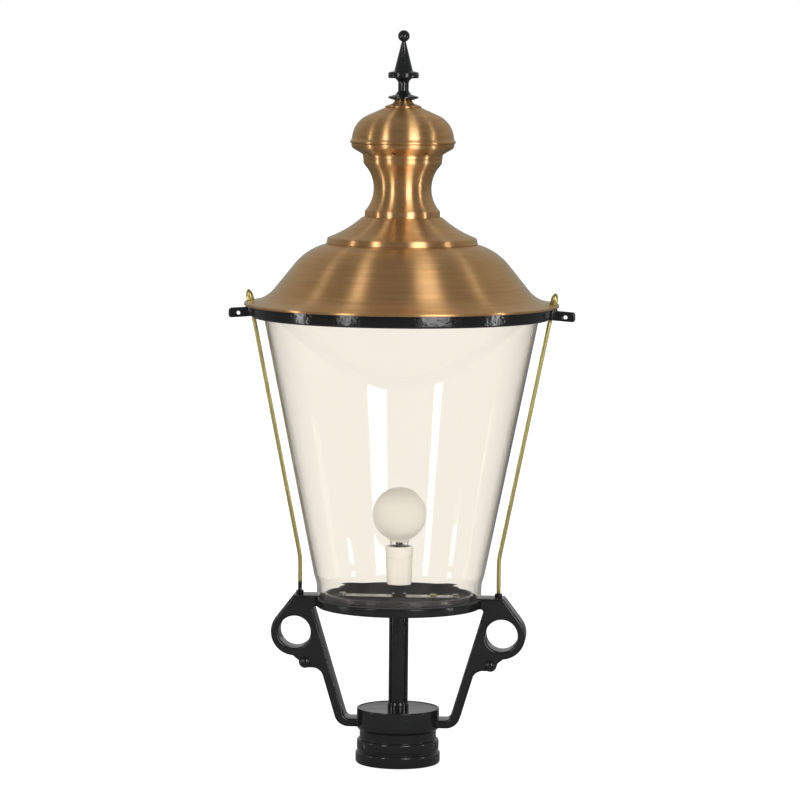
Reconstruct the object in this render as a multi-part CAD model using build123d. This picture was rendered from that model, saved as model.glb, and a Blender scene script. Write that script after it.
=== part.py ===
from build123d import *
import os
from math import acos, atan2, cos, degrees, hypot, pi, radians, sin, tan

os.makedirs("parts", exist_ok=True)

# Driving dimensions, in mm. The origin is on the post's axis at the lantern's foot, and
# the two arms stand along X.

# Room between pieces
FIT = 0.05  # radial room of a screwed or turning fit
SLIP = 0.25  # radial room of a piece that drops into another
AIR = 0.3  # room between the lift-off hood and what it rests on

# Fixings
M8_R = 4.0
M8_FLATS = 13.0
M8_NUT_H = 6.5
M8_WASHER_R = 8.0
M8_WASHER_T = 1.6
M6_R = 3.0
M6_FLATS = 10.0
M6_NUT_H = 5.0
M6_WASHER_R = 6.0
M6_WASHER_T = 1.2
M6_HEAD_R = 5.0
M6_HEAD_H = 6.0
M5_R = 2.5
M5_HEAD_R = 4.6
M5_HEAD_H = 3.2
KEY_SHARE = 0.5  # across the flats of a screw's key socket, as a share of its diameter
EDGE = 1.0  # a cast edge's rounding

# Post socket: the cast collar that drops over the post
SOCKET_FOOT_R = 58.5
SOCKET_FOOT_H = 17.0
SOCKET_GROOVE_R = 55.0
SOCKET_GROOVE_H = 3.0
SOCKET_RIDGE_R = 56.7
SOCKET_RIDGE_H = 14.0
SOCKET_NECK_R = 53.0
SOCKET_NECK_H = 12.0
SOCKET_DRUM_R = 57.0
SOCKET_DRUM_H = 31.0
SOCKET_ROOF_T = 12.0
SOCKET_RIM_W = 3.0
SOCKET_RIM_H = 0.8
SOCKET_ROUND = 4.0
SOFTEN = 0.8  # a step's rounding, as a share of the step
POST_R = 38.5
SET_SCREWS = 3
SET_SCREW_INSET = 1.0
SET_SCREW_ANGLE = 67.5

# Stem: threaded pipe from the socket up to the crossbar
STEM_R = 13.45
STEM_WALL = 2.65
STEM_NUT_FLATS = 38.0
STEM_NUT_H = 7.0
STEM_RING_R = 14.7
STEM_RING_H = 9.0

# Lower ring: the casting that the shade stands on
RING_Z = 218.0
RING_T = 12.0
RING_LEDGE_OUT = 0.9
RING_LIP_ROOM = 6.9
RING_LIP_T = 3.1
RING_LIP_H = 8.0
RING_LUG_W = 22.0
RING_LUG_REACH = 28.0
GASKET_T = 2.0

# Crossbar over the ring, with a hub for the stem
BAR_W = 36.0
BAR_T = 12.0
BAR_LAP_T = 10.0
BAR_END_ROOM = 15.0
HUB_R = 18.0
HUB_DROP = 8.0
HUB_ROOF_T = 5.0
EARTH_SCREW_X = 47.5

# Arms: flat castings from the socket to the ring, each with an open eye
ARM_DEPTH = 40.0
ARM_T = 13.2
ARM_TOE_T = 11.0
ARM_TOE_DROP = 14.5
ARM_TOE_SEAT = 10.0
ARM_KNEE_OUT = 14.9
ARM_HEAD_OUT = 4.1
ARM_HEAD_RISE = 3.0
ARM_KNEE_IN_BEND = 8.0
ARM_KNEE_OUT_BEND = 20.0
ARM_EDGE = 1.5
EYE_R = 22.3
EYE_WALL = 10.7
EYE_OUT = 5.5
EYE_DROP = 51.0
LUG_DROP = 49.5
LUG_BEND = 15.0
LUG_R = 9.0
LUG_BOLT_IN = 15.0
LUG_BOLT_DROP = 41.3
LUG_BOLT_HEAD_R = 7.4
LUG_BOLT_HEAD_H = 5.5
ARM_SCREW_L = 30.0

# Shade: clear tapered cylinder, open at both ends
SHADE_FOOT_R = 113.5
SHADE_FOOT_H = 18.0
SHADE_STEP_H = 12.0
SHADE_STEP_OUT = 3.9
SHADE_TOP_R = 190.8
SHADE_H = 396.0
SHADE_WALL = 4.0
SHADE_BEND = 40.0

# Top ring: the cast band round the shade's mouth, with an ear on each side
BAND_DROP = 11.0
BAND_T = 12.0
BAND_ROOM = 2.2
BAND_RISE = 9.7
BAND_LIP_T = 5.0
BAND_LIP_IN = 2.8
BAND_SEAT_W = 8.0
BAND_ROUND = 2.0
BOSS_R = 7.0
EAR_OUT = 33.5
EAR_H = 13.5
EAR_T = 11.0
EAR_DROOP = 3.0
EAR_BEND = 4.0
EAR_HOLE_IN = 13.5
EAR_HOLE_R = 2.75

# Tie rods, from the arm heads up through the top ring and the hood's brim
ROD_R = 2.85
ROD_OUT = 23.1
ROD_SHOULDER = 8.0
ROD_BEND_RISE = 52.0
ROD_BEND = 80.0
ROD_GRIP = 20.0
ROD_FOOT_THREAD = 12.0
ROD_HEAD_THREAD = 34.0
ROD_END = 9.0
ACORN_H = 14.0
ACORN_DOME_R = 4.9
ACORN_TIP_R = 1.2
ACORN_SIDE_BEND = 12.0
ACORN_TIP_BEND = 1.8
ACORN_BORE = 10.0

# Hood: the spun copper bell, with the parts that stand on it
COPPER_T = 1.2
BRIM_OUT = 11.3
BRIM_BEAD_R = 1.6
BRIM_W = 30.9
BRIM_BEND = 48.0
HOOD_SHOULDER_AT = 0.28  # how far out the shoulder lies between the crown and the rim
HOOD_SHOULDER_H = 73.8
HOOD_SHOULDER_ARC = 0.75  # each of these is a bend's share of the shorter run beside it
HOOD_CROWN_R = 97.9
HOOD_CROWN_H = 83.3
HOOD_CROWN_BEND = 3.0
HOOD_MOUTH_R = 86.0
SKIRT_R = 104.0
SKIRT_RIM_H = 8.0
SKIRT_RIM_IN = 1.8
SKIRT_RIM_BEND = 3.0
SKIRT_WAIST_AT = 0.455  # how far out the waist lies between the top and the rim
SKIRT_WAIST_H = 18.4
SKIRT_WAIST_ARC = 0.72
SKIRT_TOP_R = 54.5
SKIRT_H = 36.4
SKIRT_TOP_BEND = 2.0
SKIRT_MOUTH_R = 38.0
NECK_FOOT_R = 51.7
NECK_FOOT_H = 8.5
NECK_STEP = 2.3
NECK_WAIST_R = 39.7
NECK_WAIST_H = 39.7
NECK_HEAD_STEP = 1.2
NECK_HEAD_IN = 4.6
NECK_HEAD_R = 53.9
NECK_HEAD_H = 12.0
NECK_BAND_H = 5.5
NECK_H = 79.2
VENT_MOUTH_R = 44.0
VENT_FOOT_R = 54.6
VENT_FOOT_H = 6.0
VENT_FOOT_BEND = 3.0
VENT_BOWL_R = 69.6
VENT_BOWL_H = 15.0
VENT_BOWL_BEND = 5.0
VENT_RIM_R = 71.0
VENT_RIM_IN = 7.0
VENT_H = 21.5
VENT_HOLES = 8
VENT_HOLE_R = 3.3
VENT_HOLE_ANGLE = -7.5
VENT_HOLE_AT = 0.28
DOME_LIP_R = 72.3
DOME_LIP_IN = 7.0
DOME_LIP_H = 2.6
DOME_WALL_R = 70.0
DOME_WALL_H = 6.0
DOME_SHOULDER_R = 66.8
DOME_SHOULDER_H = 30.0
DOME_SHOULDER_BEND = 36.0
DOME_TOP_R = 24.0
DOME_H = 49.0
DOME_TOP_BEND = 3.0
BRIDGE_W = 22.0
BRIDGE_T = 4.0
BRIDGE_BEARING = 8.0
STUD_NUT_SPARE = 3.0
STUD_GRIP = 20.0

# Finial: the seat that carries it, then the turned black spire
CAP_R = 24.8
CAP_LEDGE_H = 1.6
CAP_WAIST_R = 14.5
CAP_WAIST_H = 5.4
CAP_TOP_R = 11.5
CAP_H = 9.5
CAP_BEND = 4.0
FINIAL_FOOT_R = 12.0
FINIAL_DISH_R = 20.75
FINIAL_DISH_LOW = 3.0
FINIAL_DISH_HIGH = 5.0
FINIAL_DISH_IN_R = 10.8
FINIAL_DISH_IN_H = 8.0
FINIAL_SPOOL_R = 7.3
FINIAL_SPOOL_LOW = 13.0
FINIAL_SPOOL_HIGH = 25.5
FINIAL_SPOOL_BEND = 4.0
FINIAL_FLARE_R = 11.5
FINIAL_COLLAR_R = 21.0
FINIAL_COLLAR_LOW = 30.0
FINIAL_COLLAR_T = 8.0
FINIAL_COLLAR_ROUND = 2.5
FINIAL_CONE_R = 12.8
FINIAL_CONE_RISE = 2.0
FINIAL_NECK_R = 2.8
FINIAL_NECK_H = 80.0
FINIAL_BALL_R = 8.0
FINIAL_H = 95.5

# Lampholder on its threaded nipple
NIPPLE_R = 6.5
NIPPLE_WALL = 2.0
NIPPLE_TAIL = 6.0
NIPPLE_RISE = 14.0
NIPPLE_GRIP = 6.0
NIPPLE_NUT_FLATS = 19.0
NIPPLE_NUT_H = 4.0
HOLDER_FOOT_R = 16.8
HOLDER_TOP_R = 19.3
HOLDER_WALL_IN = 15.0
HOLDER_FLOOR_T = 10.0
HOLDER_BODY_H = 39.0
HOLDER_H = 54.5
HOLDER_EDGE = 1.2
BLOCK_T = 8.0
BLOCK_SCREW_AT = 10.0
BLOCK_SCREW_R = 1.9
BLOCK_SCREW_H = 1.6
BLOCK_SCREWS = 2
TONGUE_R = 3.6
TONGUE_H = 3.4
SHELL_R = 14.4
SHELL_WALL = 0.5
SHELL_FLANGE_IN = 1.6
SHELL_H = 29.0

# Bulb, screwed into the holder
CONTACT_GAP = 0.3
CONTACT_R = 4.6
CONTACT_H = 2.0
INSULATOR_FOOT_R = 5.0
INSULATOR_TOP_R = 11.0
INSULATOR_H = 5.0
CAP_SHELL_R = 13.1
CAP_SHELL_WALL = 0.4
CAP_SHELL_H = 23.0
GLASS_T = 0.8
GLOBE_R = 37.0
GLOBE_RISE = 47.0
GLOBE_NECK_R = 12.2
GLOBE_NECK_SINK = 6.0
GLOBE_NECK_BEND = 9.0
MOUNT_FLARE_R = 10.0
MOUNT_STEM_R = 3.0
MOUNT_FLARE_H = 16.0
MOUNT_H = 38.0
MOUNT_BUTTON_R = 4.0
MOUNT_BUTTON_H = 3.0
FILAMENT_R = 0.6
FILAMENT_RING_R = 15.0
FILAMENT_SWEEP = 270.0
WIRE_R = 0.4
LEAD_SPREAD = 4.0

# Heights and places that follow from the sizes above
RIDGE_Z = SOCKET_FOOT_H + SOCKET_GROOVE_H
SOCKET_NECK_Z = RIDGE_Z + SOCKET_RIDGE_H
DRUM_Z = SOCKET_NECK_Z + SOCKET_NECK_H
SOCKET_H = DRUM_Z + SOCKET_DRUM_H
ROOF_Z = SOCKET_H - SOCKET_ROOF_T
STEM_NUT_Z = ROOF_Z - STEM_NUT_H
STEM_NUT_CORNER_R = STEM_NUT_FLATS / 2 / cos(radians(30))
NUT_RECESS_R = STEM_NUT_CORNER_R + SLIP
SET_SCREW_Z = RIDGE_Z + SOCKET_RIDGE_H / 2

LEDGE_Z = RING_Z + RING_T
SHADE_Z = LEDGE_Z + GASKET_T
SHADE_TOP_Z = SHADE_Z + SHADE_H
SHADE_CONE_Z = SHADE_Z + SHADE_FOOT_H + SHADE_STEP_H
SHADE_CONE_R = SHADE_FOOT_R + SHADE_STEP_OUT
SLOPE = (SHADE_TOP_R - SHADE_CONE_R) / (SHADE_TOP_Z - SHADE_CONE_Z)
RING_R = SHADE_FOOT_R + RING_LEDGE_OUT
RING_LIP_R = SHADE_FOOT_R - SHADE_WALL - RING_LIP_ROOM
RING_IN_R = RING_LIP_R - RING_LIP_T

BAR_LAP_Z = RING_Z + RING_T / 2
BAR_TOP_Z = BAR_LAP_Z + BAR_LAP_T
HUB_Z = BAR_TOP_Z - BAR_T - HUB_DROP
STEM_TOP_Z = BAR_TOP_Z - HUB_ROOF_T
BAR_HALF = RING_IN_R - BAR_END_ROOM
LUG_X = RING_IN_R - RING_LUG_REACH
BAR_SCREW_X = (LUG_X + BAR_HALF) / 2

ARM_TOP_Z = LEDGE_Z + ARM_HEAD_RISE
ARM_TOE_TOP = SOCKET_H - ARM_TOE_DROP
ARM_TOE_Z = ARM_TOE_TOP - ARM_TOE_T
ARM_TOE_R = SOCKET_DRUM_R - ARM_TOE_SEAT
ARM_KNEE_R = SOCKET_DRUM_R + ARM_KNEE_OUT
ARM_HEAD_R = RING_R + ARM_HEAD_OUT
ARM_LEAN = (ARM_HEAD_R - ARM_KNEE_R) / (RING_Z - ARM_TOE_TOP)
ROD_FOOT_R = RING_R + ROD_OUT
EYE_X = ROD_FOOT_R + EYE_OUT
EYE_Z = ARM_TOP_Z - EYE_DROP
ARM_SCREW_Y = RING_LUG_W / 2 + SLIP + M6_HEAD_R
ARM_SCREW_Z = RING_Z + RING_T / 2

BAND_R = SHADE_TOP_R + BAND_ROOM + BAND_T
BAND_Z = SHADE_TOP_Z - BAND_DROP
BAND_LIP_Z = SHADE_TOP_Z + GASKET_T
BAND_TOP_Z = SHADE_TOP_Z + BAND_RISE

ROD_BEND_Z = ARM_TOP_Z + ROD_BEND_RISE
RIM_R = BAND_R + BRIM_OUT
RISE = hypot(1, SLOPE)
RIM_Z = BAND_TOP_Z + (AIR + COPPER_T) * RISE - SLOPE * BRIM_OUT
CROWN_Z = RIM_Z + HOOD_CROWN_H
HOOD_SHOULDER_R = HOOD_CROWN_R + HOOD_SHOULDER_AT * (RIM_R - HOOD_CROWN_R)
CROWN_FALL = (HOOD_CROWN_H - HOOD_SHOULDER_H) / (HOOD_SHOULDER_R - HOOD_CROWN_R)
SKIRT_LEAN = SKIRT_RIM_IN / SKIRT_RIM_H
SKIRT_FOOT_W = COPPER_T / hypot(1, SKIRT_LEAN)
SKIRT_FOOT_DROP = CROWN_FALL * (SKIRT_R - SKIRT_FOOT_W - HOOD_CROWN_R)
SKIRT_Z = CROWN_Z - SKIRT_FOOT_DROP + SKIRT_LEAN * SKIRT_FOOT_W
NECK_Z = SKIRT_Z + SKIRT_H
VENT_Z = NECK_Z + NECK_H
DOME_Z = VENT_Z + VENT_H
CAP_Z = DOME_Z + DOME_H
FINIAL_Z = CAP_Z + CAP_H
BRIDGE_Z = CROWN_Z - COPPER_T - BRIDGE_T
STUD_NUT_Z = BRIDGE_Z - M8_WASHER_T - M8_NUT_H

HOLDER_Z = BAR_TOP_Z + NIPPLE_RISE
BLOCK_Z = HOLDER_Z + HOLDER_FLOOR_T
BLOCK_TOP_Z = BLOCK_Z + BLOCK_T
CONTACT_Z = BLOCK_TOP_Z + TONGUE_H + CONTACT_GAP
INSULATOR_Z = CONTACT_Z + CONTACT_H
CAP_SHELL_Z = INSULATOR_Z + INSULATOR_H
CAP_SHELL_TOP_Z = CAP_SHELL_Z + CAP_SHELL_H
GLOBE_Z = CAP_SHELL_TOP_Z + GLOBE_RISE


def rod_r(z):
    """Distance from the lantern's axis to the rod's axis, on the leaning stretch."""
    return ROD_FOOT_R + SLOPE * (z - ROD_BEND_Z)


# The rod's axis meets the top of the brim here, and the hardware is set out from there.
BRIM_TOP_Z = (RIM_Z + SLOPE * (RIM_R - ROD_FOOT_R + SLOPE * ROD_BEND_Z)) / (1 + SLOPE**2)
BRIM_SEAT = Plane(
    origin=(rod_r(BRIM_TOP_Z), 0, BRIM_TOP_Z), x_dir=(1, 0, -SLOPE), z_dir=(SLOPE, 0, 1)
)


def turned(points):
    """A solid turned from (radius, height, corner radius) points round a closed outline."""
    outline = FilletPolyline(
        *[(r, z) for r, z, bend in points], radius=[bend for r, z, bend in points], close=True
    )
    return revolve(Plane.XZ * make_face(outline.edges()), Axis.Z)


def bent(points):
    """An open outline through (radius, height, corner radius) points."""
    bends = [bend for r, z, bend in points[1:-1]]
    return FilletPolyline(*[(r, z) for r, z, bend in points], radius=bends)


def arc_bend(before, corner, after, share):
    """The corner radius whose arc takes a share of the shorter of the two runs beside it."""
    runs = [(point[0] - corner[0], point[1] - corner[1]) for point in (before, after)]
    lengths = [hypot(*run) for run in runs]
    dot = runs[0][0] * runs[1][0] + runs[0][1] * runs[1][1]
    return share * min(lengths) * tan(acos(dot / (lengths[0] * lengths[1])) / 2)


def spun(outline, wall):
    """Sheet metal spun to an outline drawn upwards, with its wall on the inside."""
    section = make_face(offset(outline, amount=wall, side=Side.LEFT).edges())
    return revolve(Plane.XZ * section, Axis.Z)


def disc(r, low, high, bore=0.0):
    """A round plate, or a ring if it has a bore, between two heights."""
    plate = Pos(0, 0, low) * extrude(Circle(r), high - low)
    if bore > 0:
        plate -= Pos(0, 0, low) * extrude(Circle(bore), high - low)
    return plate


def block(x_low, x_high, width, low, high):
    """A box across the Y axis, from its ends along X and its two heights."""
    return Pos(x_low, 0, low) * Box(
        x_high - x_low, width, high - low, align=(Align.MIN, Align.CENTER, Align.MIN)
    )


def hex_nut(flats, height, bore):
    """A hexagon nut standing on the XY plane."""
    body = extrude(RegularPolygon(flats / 2, 6, major_radius=False), height)
    return body - extrude(Circle(bore), height)


def key_screw(shank_r, length, head_r, head_h):
    """A cylinder-head screw along Z: its head stands on the XY plane, its shank hangs."""
    key = extrude(RegularPolygon(shank_r * KEY_SHARE, 6, major_radius=False), -head_h / 2)
    body = disc(head_r, 0, head_h) + disc(shank_r, -length, 0)
    return body - Pos(0, 0, head_h) * key


def both_sides(piece):
    """The piece on the right and its mirror image on the left."""
    return [piece, mirror(piece, about=Plane.YZ)]


def radial(angle, r, z):
    """A place on the socket's or vent's wall, its Z axis pointing outwards. Angle 0 faces -Y."""
    turn = radians(angle)
    out = (sin(turn), -cos(turn), 0)
    return Plane(origin=(out[0] * r, out[1] * r, z), x_dir=(0, 0, 1), z_dir=out)


def post_socket():
    """Ribbed collar: open below for the post, roofed above for the stem."""
    foot_bend = SOFTEN * (SOCKET_FOOT_R - SOCKET_GROOVE_R)
    ridge_bend = SOFTEN * (SOCKET_RIDGE_R - SOCKET_NECK_R)
    body = turned(
        [
            (POST_R, 0, 0),
            (SOCKET_FOOT_R, 0, SOCKET_ROUND),
            (SOCKET_FOOT_R, SOCKET_FOOT_H, foot_bend),
            (SOCKET_GROOVE_R, SOCKET_FOOT_H, 0),
            (SOCKET_GROOVE_R, RIDGE_Z, 0),
            (SOCKET_RIDGE_R, RIDGE_Z, EDGE),
            (SOCKET_RIDGE_R, SOCKET_NECK_Z, ridge_bend),
            (SOCKET_NECK_R, SOCKET_NECK_Z, 0),
            (SOCKET_NECK_R, DRUM_Z, SOCKET_ROUND / 2),
            (SOCKET_DRUM_R, DRUM_Z + SOCKET_DRUM_R - SOCKET_NECK_R, SOCKET_ROUND),
            (SOCKET_DRUM_R, SOCKET_H, EDGE),
            (SOCKET_DRUM_R - SOCKET_RIM_W, SOCKET_H, 0),
            (SOCKET_DRUM_R - SOCKET_RIM_W, SOCKET_H - SOCKET_RIM_H, 0),
            (STEM_R + FIT, SOCKET_H - SOCKET_RIM_H, 0),
            (STEM_R + FIT, ROOF_Z, 0),
            (NUT_RECESS_R, ROOF_Z, 0),
            (NUT_RECESS_R, STEM_NUT_Z - SLIP, 0),
            (POST_R, STEM_NUT_Z - SLIP, 0),
        ]
    )
    toe = block(
        ARM_TOE_R - FIT, SOCKET_DRUM_R + EDGE, ARM_DEPTH + 2 * FIT, ARM_TOE_Z - FIT, ARM_TOE_TOP + FIT
    )
    for slot in both_sides(toe):
        body -= slot
    for place in set_screw_places():
        body -= place * extrude(Circle(M8_R + FIT), SOCKET_RIDGE_R - POST_R + 2, both=True)
    return body


def set_screw_places():
    """Where the set screws' outer ends lie, spaced evenly round the ridge."""
    step = 360 / SET_SCREWS
    r = SOCKET_RIDGE_R - SET_SCREW_INSET
    return [
        radial(SET_SCREW_ANGLE + step * i, r, SET_SCREW_Z).location for i in range(SET_SCREWS)
    ]


def socket_set_screws():
    """Headless screws that clamp the post, each with a key socket in its outer end."""
    length = SOCKET_RIDGE_R - SET_SCREW_INSET - POST_R - SLIP
    screw = disc(M8_R, -length, 0)
    screw -= extrude(RegularPolygon(M8_R * KEY_SHARE, 6, major_radius=False), -M8_R)
    return Compound([place * screw for place in set_screw_places()])


def arm_outline():
    """The right arm seen from the front: toe, strut, head and lug round an open eye."""
    strut_w = ARM_T * hypot(1, ARM_LEAN)
    lug_z = EYE_Z - LUG_DROP
    strut_out = ARM_KNEE_R + ARM_LEAN * (lug_z - ARM_TOE_TOP) + strut_w
    knee_out = ARM_KNEE_R - ARM_LEAN * ARM_TOE_T + strut_w
    shoulder_x = ROD_FOOT_R + ROD_SHOULDER
    eye_r = EYE_R + EYE_WALL
    reach = hypot(shoulder_x - EYE_X, ARM_TOP_Z - EYE_Z)
    tangent = atan2(ARM_TOP_Z - EYE_Z, shoulder_x - EYE_X) - acos(eye_r / reach)
    lug_foot = radians(-90)
    points = [
        (ARM_TOE_R, ARM_TOE_TOP, 0),
        (ARM_KNEE_R, ARM_TOE_TOP, ARM_KNEE_IN_BEND),
        (ARM_HEAD_R, RING_Z, EDGE),
        (RING_R - RING_LIP_T, RING_Z, 0),
        (RING_R - RING_LIP_T, ARM_TOP_Z, 0),
        (shoulder_x, ARM_TOP_Z, 2),
        (EYE_X + eye_r * cos(tangent), EYE_Z + eye_r * sin(tangent), 0),
        (EYE_X + eye_r * cos(lug_foot), EYE_Z + eye_r * sin(lug_foot), 0),
        (EYE_X - LUG_BOLT_IN, lug_z, 0),
        (strut_out, lug_z, LUG_BEND),
        (knee_out, ARM_TOE_Z, ARM_KNEE_OUT_BEND),
        (ARM_TOE_R, ARM_TOE_Z, 0),
    ]
    plate = FilletPolyline(
        *[(x, z) for x, z, bend in points], radius=[bend for x, z, bend in points], close=True
    )
    eye = Pos(EYE_X, EYE_Z) * Circle(eye_r)
    lug = Pos(EYE_X - LUG_BOLT_IN, EYE_Z - LUG_BOLT_DROP) * Circle(LUG_R)
    return make_face(plate.edges()) + eye + lug - Pos(EYE_X, EYE_Z) * Circle(EYE_R)


def arm():
    """The right arm, with the bores for its tie rod, its lug bolt and its two screws."""
    body = extrude(Plane.XZ * arm_outline(), ARM_DEPTH / 2, both=True)
    faces = body.faces().filter_by(Axis.Y)
    rims = [wire.edges() for face in faces for wire in face.wires()]
    body = chamfer([edge for rim in rims for edge in rim], ARM_EDGE)
    body -= disc(RING_R + FIT, RING_Z - EDGE, ARM_TOP_Z + EDGE)
    body -= Pos(ROD_FOOT_R, 0, ARM_TOP_Z) * extrude(Circle(M6_R + FIT), -ROD_GRIP)
    for place in arm_screw_places():
        body -= place * disc(M6_R + FIT, -ARM_SCREW_L, 0)
    body -= lug_bolt_place() * disc(M8_R + FIT, -ARM_DEPTH, 0)
    return body


def lug_bolt_place():
    """The front end of the lug's bore, its Z axis pointing forwards."""
    x = EYE_X - LUG_BOLT_IN
    z = EYE_Z - LUG_BOLT_DROP
    return Plane(origin=(x, -ARM_DEPTH / 2, z), x_dir=(1, 0, 0), z_dir=(0, -1, 0)).location


def lug_bolts():
    """Round-headed bolts through the lugs."""
    length = ARM_DEPTH + M8_NUT_H + M8_R / 2
    head = turned(
        [
            (0, 0, 0),
            (LUG_BOLT_HEAD_R, 0, 0),
            (LUG_BOLT_HEAD_R, LUG_BOLT_HEAD_H, LUG_BOLT_HEAD_H * 0.9),
            (0, LUG_BOLT_HEAD_H, 0),
        ]
    )
    bolt = head + disc(M8_R, -length, 0)
    return Compound(both_sides(lug_bolt_place() * bolt))


def lug_nuts():
    """Nuts on the lug bolts, behind the arms."""
    nut = Pos(0, 0, -ARM_DEPTH - M8_NUT_H) * hex_nut(M8_FLATS, M8_NUT_H, M8_R + FIT)
    return Compound(both_sides(lug_bolt_place() * nut))


def arm_screw_places():
    """Where the arm screws' heads bear, in the ring's inner wall, pointing inwards."""
    seat_x = RING_IN_R + M6_HEAD_H / 2
    return [
        Plane(origin=(seat_x, y, ARM_SCREW_Z), x_dir=(0, 1, 0), z_dir=(-1, 0, 0)).location
        for y in (-ARM_SCREW_Y, ARM_SCREW_Y)
    ]


def arm_screws():
    """Screws from inside the lower ring into each arm's head."""
    screw = key_screw(M6_R, ARM_SCREW_L - 2, M6_HEAD_R, M6_HEAD_H)
    right = [place * screw for place in arm_screw_places()]
    return Compound(right + [mirror(piece, about=Plane.YZ) for piece in right])


def lower_ring():
    """Cast ring: a ledge for the shade, a locating lip, and a lug for each bar end."""
    body = turned(
        [
            (RING_IN_R, RING_Z, EDGE),
            (RING_R, RING_Z, 2 * EDGE),
            (RING_R, LEDGE_Z, EDGE),
            (RING_LIP_R, LEDGE_Z, 0),
            (RING_LIP_R, LEDGE_Z + RING_LIP_H, EDGE),
            (RING_IN_R, LEDGE_Z + RING_LIP_H, EDGE),
        ]
    )
    for lug in both_sides(block(LUG_X, RING_IN_R + EDGE, RING_LUG_W, RING_Z, BAR_LAP_Z)):
        body += lug
    for hole in both_sides(Pos(BAR_SCREW_X, 0, 0) * disc(M5_R + FIT, RING_Z, BAR_LAP_Z)):
        body -= hole
    for place in arm_screw_places():
        hole = place * (disc(M6_R + FIT, -ARM_SCREW_L, 0) + disc(M6_HEAD_R + SLIP, 0, ARM_SCREW_L))
        body -= hole
        body -= mirror(hole, about=Plane.YZ)
    return body


def crossbar():
    """Flat bar across the ring, lapped at its ends, with a hub that takes the stem."""
    body = block(-BAR_HALF, BAR_HALF, BAR_W, BAR_TOP_Z - BAR_T, BAR_TOP_Z)
    body &= disc(BAR_HALF, BAR_TOP_Z - BAR_T, BAR_TOP_Z)
    for lap in both_sides(block(LUG_X - SLIP, RING_R, RING_R, RING_Z - RING_T, BAR_LAP_Z)):
        body -= lap
    body += disc(HUB_R, HUB_Z, BAR_TOP_Z)
    body -= disc(STEM_R + FIT, HUB_Z, STEM_TOP_Z)
    body -= disc(NIPPLE_R + FIT, STEM_TOP_Z, BAR_TOP_Z)
    for hole in both_sides(Pos(BAR_SCREW_X, 0, 0) * disc(M5_R + FIT, BAR_LAP_Z, BAR_TOP_Z)):
        body -= hole
    body -= Pos(EARTH_SCREW_X, 0, 0) * disc(M5_R + FIT, BAR_TOP_Z - BAR_T, BAR_TOP_Z)
    return body


def crossbar_screws():
    """Screws that hold the bar's ends down on the ring's lugs."""
    screw = key_screw(M5_R, BAR_LAP_T + RING_T / 2, M5_HEAD_R, M5_HEAD_H)
    return Compound(both_sides(Pos(BAR_SCREW_X, 0, BAR_TOP_Z) * screw))


def earth_screw():
    """The terminal screw for the earth wire, on the crossbar."""
    return Pos(EARTH_SCREW_X, 0, BAR_TOP_Z) * key_screw(M5_R, BAR_T, M5_HEAD_R, M5_HEAD_H)


def tie_rod():
    """The right tie rod: upright in the arm's head, then leaning out with the shade."""
    foot_z = ARM_TOP_Z - ROD_GRIP
    end = BRIM_SEAT.origin + BRIM_SEAT.z_dir * ROD_END
    route = FilletPolyline(
        (ROD_FOOT_R, 0, foot_z), (ROD_FOOT_R, 0, ROD_BEND_Z), tuple(end), radius=[ROD_BEND]
    )
    body = sweep(Pos(ROD_FOOT_R, 0, foot_z) * Circle(ROD_R), path=Wire(route.edges()))
    body += Pos(ROD_FOOT_R, 0, foot_z) * disc(M6_R, 0, ROD_GRIP + ROD_FOOT_THREAD)
    body += BRIM_SEAT.location * disc(M6_R, ROD_END - ROD_HEAD_THREAD, ROD_END)
    return body


def rod_lock_nuts():
    """Nuts that lock the rods' feet on the arms."""
    nut = Pos(ROD_FOOT_R, 0, ARM_TOP_Z) * hex_nut(M6_FLATS, M6_NUT_H, M6_R + FIT)
    return Compound(both_sides(nut))


def top_ring():
    """Cast band round the shade's mouth, with a bored boss and an ear on each side."""
    wall_r = SHADE_TOP_R + BAND_ROOM
    lip_r = SHADE_TOP_R - SHADE_WALL - BAND_LIP_IN
    seat_r = BAND_R - BAND_SEAT_W
    body = turned(
        [
            (wall_r, BAND_Z, EDGE),
            (BAND_R, BAND_Z, BAND_ROUND),
            (BAND_R, BAND_TOP_Z, EDGE),
            (seat_r, BAND_TOP_Z + SLOPE * BAND_SEAT_W, 0),
            (seat_r, BAND_LIP_Z + BAND_LIP_T, 0),
            (lip_r, BAND_LIP_Z + BAND_LIP_T, EDGE),
            (lip_r, BAND_LIP_Z, 0),
            (wall_r, BAND_LIP_Z, 0),
        ]
    )
    bore = BRIM_SEAT.location * disc(M6_R + AIR, -3 * BAND_T, BAND_T)
    mouth = disc(wall_r, BAND_Z - BAND_T, BAND_LIP_Z)
    for piece, hole in zip(both_sides(boss_and_ear()), both_sides(bore)):
        body += piece - mouth
        body -= hole
    return body


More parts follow.
